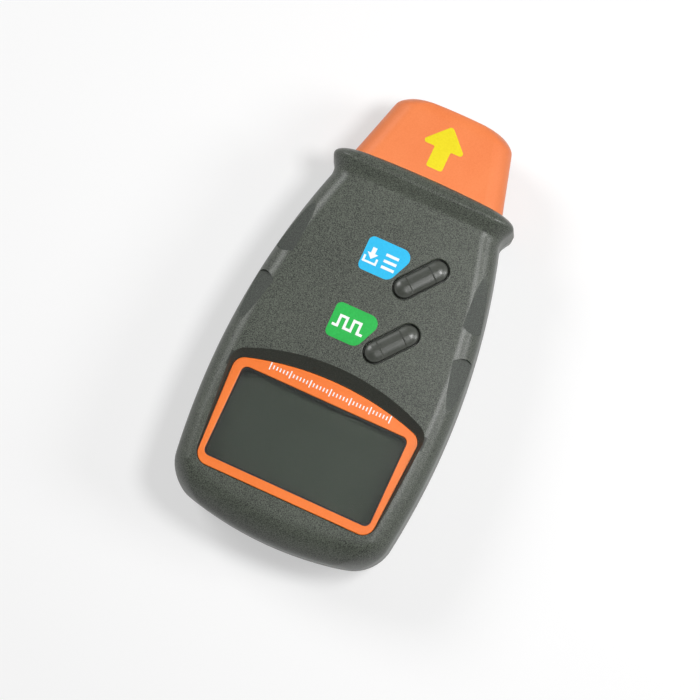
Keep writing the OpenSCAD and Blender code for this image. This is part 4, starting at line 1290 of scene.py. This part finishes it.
# Arrow into a tray beside a list of three lines
arrow = [(-2.7, 2.2), (-2.7, 0.5), (-1.7, 0.5), (-3.3, -1.2), (-4.9, 0.5), (-3.9, 0.5), (-3.9, 2.2)]
tray = strip([(-5.1, -0.6), (-5.1, -2.2), (-1.5, -2.2), (-1.5, -0.6)], TRAY_LINE)
lines = [[(0.2, y), (4.0, y), (4.0, y + LIST_LINE), (0.2, y + LIST_LINE)] for y in (-2.3, -0.5, 1.3)]
store_outlines = [shifted(outline, STORE_MARK) for outline in [arrow, tray] + lines]
printed("store_mark", store_outlines, ON_TAG, WHITE_PRINT, "ring_white")

# Pulse line that rises and falls by turns
wave = [(PULSE_ENDS[0], -PULSE_RISE)]
for i, x in enumerate(PULSE_EDGES):
    level = PULSE_RISE if i % 2 else -PULSE_RISE
    wave += [(x, level), (x, -level)]
wave.append((PULSE_ENDS[1], -PULSE_RISE))
printed("measure_mark", [strip(shifted(wave, PULSE_MARK), PULSE_LINE)], ON_TAG, WHITE_PRINT, "ring_white")

ticks = grow_tree("scale_ticks", bar_row, bpy.data.meshes.new("ticks"), {
    "Count": TICK_COUNT, "Pitch": TICK_PITCH, "Bar Size": TICK_SIZE,
    "Long Every": TICK_LONG_EVERY, "Short Part": TICK_SHORT_PART, "Material": WHITE_PRINT,
})
tick_row = Matrix.Translation((-TICK_PITCH * (TICK_COUNT - 1) / 2, TICK_Y, PRINT / 2))
ticks.data.transform(ON_DISPLAY @ tick_row)
dress(ticks, "scale_ticks", [], "case", "ring_white")

# Arrow on the nose, lying on its sloping face
nose_drop = math.atan((NOSE_BASE[1] - NOSE_TIP[1]) / 2 / NOSE_LENGTH)
pointer_place = Matrix.Translation((0, POINTER_Y, OPTICS_Z + nose_size(POINTER_Y, 1) + PRINT))
pointer = rounded(
    [(-2.4, 0.2), (2.4, 0.2), (2.4, 6.4), (6.8, 6.4), (0.0, 13.6), (-6.8, 6.4), (-2.4, 6.4)],
    [0.7, 0.7, 0.4, 0.8, 1.0, 0.8, 0.4],
)
nose_face = pointer_place @ Matrix.Rotation(-nose_drop, 4, "X")
printed("aim_arrow", [pointer], nose_face, YELLOW_PRINT, "nose_orange")


# Screws in the back and the receiver lens

screw_points = bpy.data.meshes.new("screw places")
screw_points.from_pydata([(x, y, SCREW_SEAT) for x, y in SCREW_PLACES], [], [])
case_screws = grow_tree("screws", screw_tree(), screw_points, {
    "Head Radius": SCREW_HEAD[0], "Head Height": SCREW_HEAD[1], "Rim": SCREW_RIM,
    "Shank Radius": SCREW_SHANK[0], "Shank Length": SCREW_SHANK[1],
    "Cross Length": CROSS_SIZE[0], "Cross Width": CROSS_SIZE[1], "Cross Depth": CROSS_SIZE[2],
    "Material": STEEL,
})
smooth_off(case_screws, SCREW_CRISP)
dress(case_screws, "back_screws", [], "case", "bright_steel", "case_screws")


def lens_piece():
    """Plano-convex lens with a small flat rim."""
    back_y, front_y = LENS_ENDS
    face = LENS_RADIUS - LENS_RIM
    edge = LENS_CURVE - math.sqrt(LENS_CURVE ** 2 - face ** 2)
    profile = [(LENS_HUB, back_y), (LENS_RADIUS - LENS_CHAMFER, back_y), (LENS_RADIUS, back_y + LENS_CHAMFER)]
    profile.append((LENS_RADIUS, front_y - edge - LENS_RIM))
    for r in [face] + spread(face, LENS_HUB, 10):
        profile.append((r, front_y - LENS_CURVE + math.sqrt(LENS_CURVE ** 2 - r ** 2)))
    turns = [2 * math.pi * i / LENS_STEPS for i in range(LENS_STEPS)]
    rings = [[(LENS_X + r * math.cos(a), y, OPTICS_Z + r * math.sin(a)) for a in turns] for r, y in profile]
    return skin("lens", rings)


lens = smooth_off(lens_piece(), LENS_CRISP)
dress(lens, "domed_lens", [LENS], "case", "lens_glass", "receiver_lens")


# Finishes of the solids that stay as they are

FINISHES = {
    "lcd_panel": SCREEN, "lcd_ring": WHITE_PLASTIC, "contact_strips": BLACK_PLASTIC,
    "store_plunger": BLACK_PLASTIC, "measure_plunger": BLACK_PLASTIC,
    "store_switch": BLACK_PLASTIC, "measure_switch": BLACK_PLASTIC,
    "main_board": BOARD, "controller_chip": BLACK_PLASTIC, "crystal": TIN, "capacitor": TIN,
    "board_screws": STEEL, "optics_holder": BLACK_PLASTIC, "laser_barrel": BRASS,
    "photo_sensor": BLACK_PLASTIC, "sensor_board": BOARD, "holder_screws": STEEL,
    "battery": JACKET, "battery_snap": BLACK_PLASTIC,
    "positive_lead": RED_JACKET, "negative_lead": BLACK_PLASTIC,
}
for node, material in FINISHES.items():
    paint(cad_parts[node], [material])


# Floor, light and camera, in metres

ROOM_LIGHT = 0.1
BACKDROP = 1.0
CEILING = 0.25
CEILING_RISE = (0.25, 0.75)
FLOOR_REACH = 3.0
FLOOR_Z = -0.0002
FLOOR_PALE = (0.95, 0.95, 0.95, 1.0)
FLOOR_SHADE = (0.4, 0.4, 0.4, 1.0)
NEAR_GLOW = 0.5
GLOW_REACH = (0.13, 0.45)
LAMP_AIM = Vector((0, 0, 0.01))

# Place, diameter and power of each lamp
LAMPS = {
    "softbox": ((0.14, 0.06, 0.4), 0.1, 0.95),
    "right": ((0.75, 0.25, 0.55), 0.35, 3.4),
    "left": ((-0.65, 0.25, 0.6), 0.4, 3.6),
}

# Direction to the camera, clockwise lean of the object, and its shift in pixels from the middle
CAMERA_WAY = (0.078, -0.10, 0.992)
CAMERA_LEAN = math.radians(24.7)
CAMERA_DISTANCE = 0.8
SENSOR_WIDTH = 36.0
PICTURE_PIXELS = 700
PIXELS_PER_MM = 3.59
OBJECT_MIDDLE = (0.0, 0.0, 14.5)
SHIFT_RIGHT = 13.0
SHIFT_UP = 21.0


def seen_rays(tree):
    """One on rays that show a thing to the eye: straight, mirrored or through glass."""
    path = tree.nodes.new("ShaderNodeLightPath").outputs
    seen = path["Is Camera Ray"]
    for kind in ("Is Glossy Ray", "Is Transmission Ray"):
        seen = add(tree, "ShaderNodeMath", {0: seen, 1: path[kind]}, operation="MAXIMUM")
    return seen


def studio_floor():
    """Pale floor that takes the shadow near the object and is plain white further away."""
    mesh = bpy.data.meshes.new("floor")
    corners = [(-1, -1), (1, -1), (1, 1), (-1, 1)]
    mesh.from_pydata([(x * FLOOR_REACH, y * FLOOR_REACH, FLOOR_Z) for x, y in corners], [], [(0, 1, 2, 3)])
    floor = put_in_scene("floor", mesh)
    material, tree, place = empty_material("pale floor")
    plug_shader(tree, {"Base Color": FLOOR_SHADE, "Roughness": 0.9, "Specular IOR Level": 0.0})
    pale = add(tree, "ShaderNodeBsdfDiffuse", {"Color": FLOOR_PALE})
    glow = add(tree, "ShaderNodeEmission", {"Strength": BACKDROP})
    away = add(tree, "ShaderNodeVectorMath", {0: place}, "Value", operation="LENGTH")
    share = ranged(tree, away, NEAR_GLOW, 1.0, *GLOW_REACH)
    seen = add(tree, "ShaderNodeMixShader", {"Fac": share, 1: pale, 2: glow})
    lit = tree.nodes["Principled BSDF"].outputs["BSDF"]
    mix = add(tree, "ShaderNodeMixShader", {"Fac": seen_rays(tree), 1: lit, 2: seen})
    plug(tree, tree.nodes["Material Output"], {"Surface": mix})
    mesh.materials.append(material)


def studio_lamp(name, place, size, power):
    light = bpy.data.lights.new(name, "AREA")
    light.shape = "DISK"
    light.size = size
    light.energy = power
    made = put_in_scene(name, light)
    made.location = place
    made.rotation_euler = (LAMP_AIM - Vector(place)).to_track_quat("-Z", "Y").to_euler()


def studio_world():
    """Soft room light; eye, metal and glass see a white backdrop all round and a dim ceiling."""
    world = bpy.data.worlds.new("studio")
    world.use_nodes = True
    tree = world.node_tree
    way = add(tree, "ShaderNodeTexCoord", {}, "Generated")
    height = add(tree, "ShaderNodeSeparateXYZ", {"Vector": way}, "Z")
    backdrop = ranged(tree, height, BACKDROP, CEILING, *CEILING_RISE)
    levels = {"Factor": seen_rays(tree), "A": ROOM_LIGHT, "B": backdrop}
    level = add(tree, "ShaderNodeMix", levels, data_type="FLOAT")
    plug(tree, tree.nodes["Background"], {"Color": (1.0, 1.0, 1.0, 1.0), "Strength": level})
    bpy.context.scene.world = world


def photo_camera():
    """Camera at the photograph's angle; the object leans clockwise in the picture."""
    towards = Vector(CAMERA_WAY).normalized()
    along = Vector((0, 1, 0))
    along = (along - towards * along.dot(towards)).normalized()
    across = along.cross(towards)
    up = along * math.cos(CAMERA_LEAN) - across * math.sin(CAMERA_LEAN)
    right = across * math.cos(CAMERA_LEAN) + along * math.sin(CAMERA_LEAN)
    aim = Vector(OBJECT_MIDDLE) - right * (SHIFT_RIGHT / PIXELS_PER_MM) - up * (SHIFT_UP / PIXELS_PER_MM)
    camera = bpy.data.cameras.new("camera")
    camera.sensor_width = SENSOR_WIDTH
    camera.lens = SENSOR_WIDTH * CAMERA_DISTANCE / (PICTURE_PIXELS / PIXELS_PER_MM * MM)
    camera.clip_start = 0.01
    made = put_in_scene("camera", camera)
    turn = Matrix((right, up, towards)).transposed()
    made.matrix_world = Matrix.Translation(aim * MM + towards * CAMERA_DISTANCE) @ turn.to_4x4()
    bpy.context.scene.camera = made


studio_floor()
studio_world()
for name, (place, size, power) in LAMPS.items():
    studio_lamp(name, place, size, power)
photo_camera()
bpy.context.scene.view_settings.view_transform = "Standard"
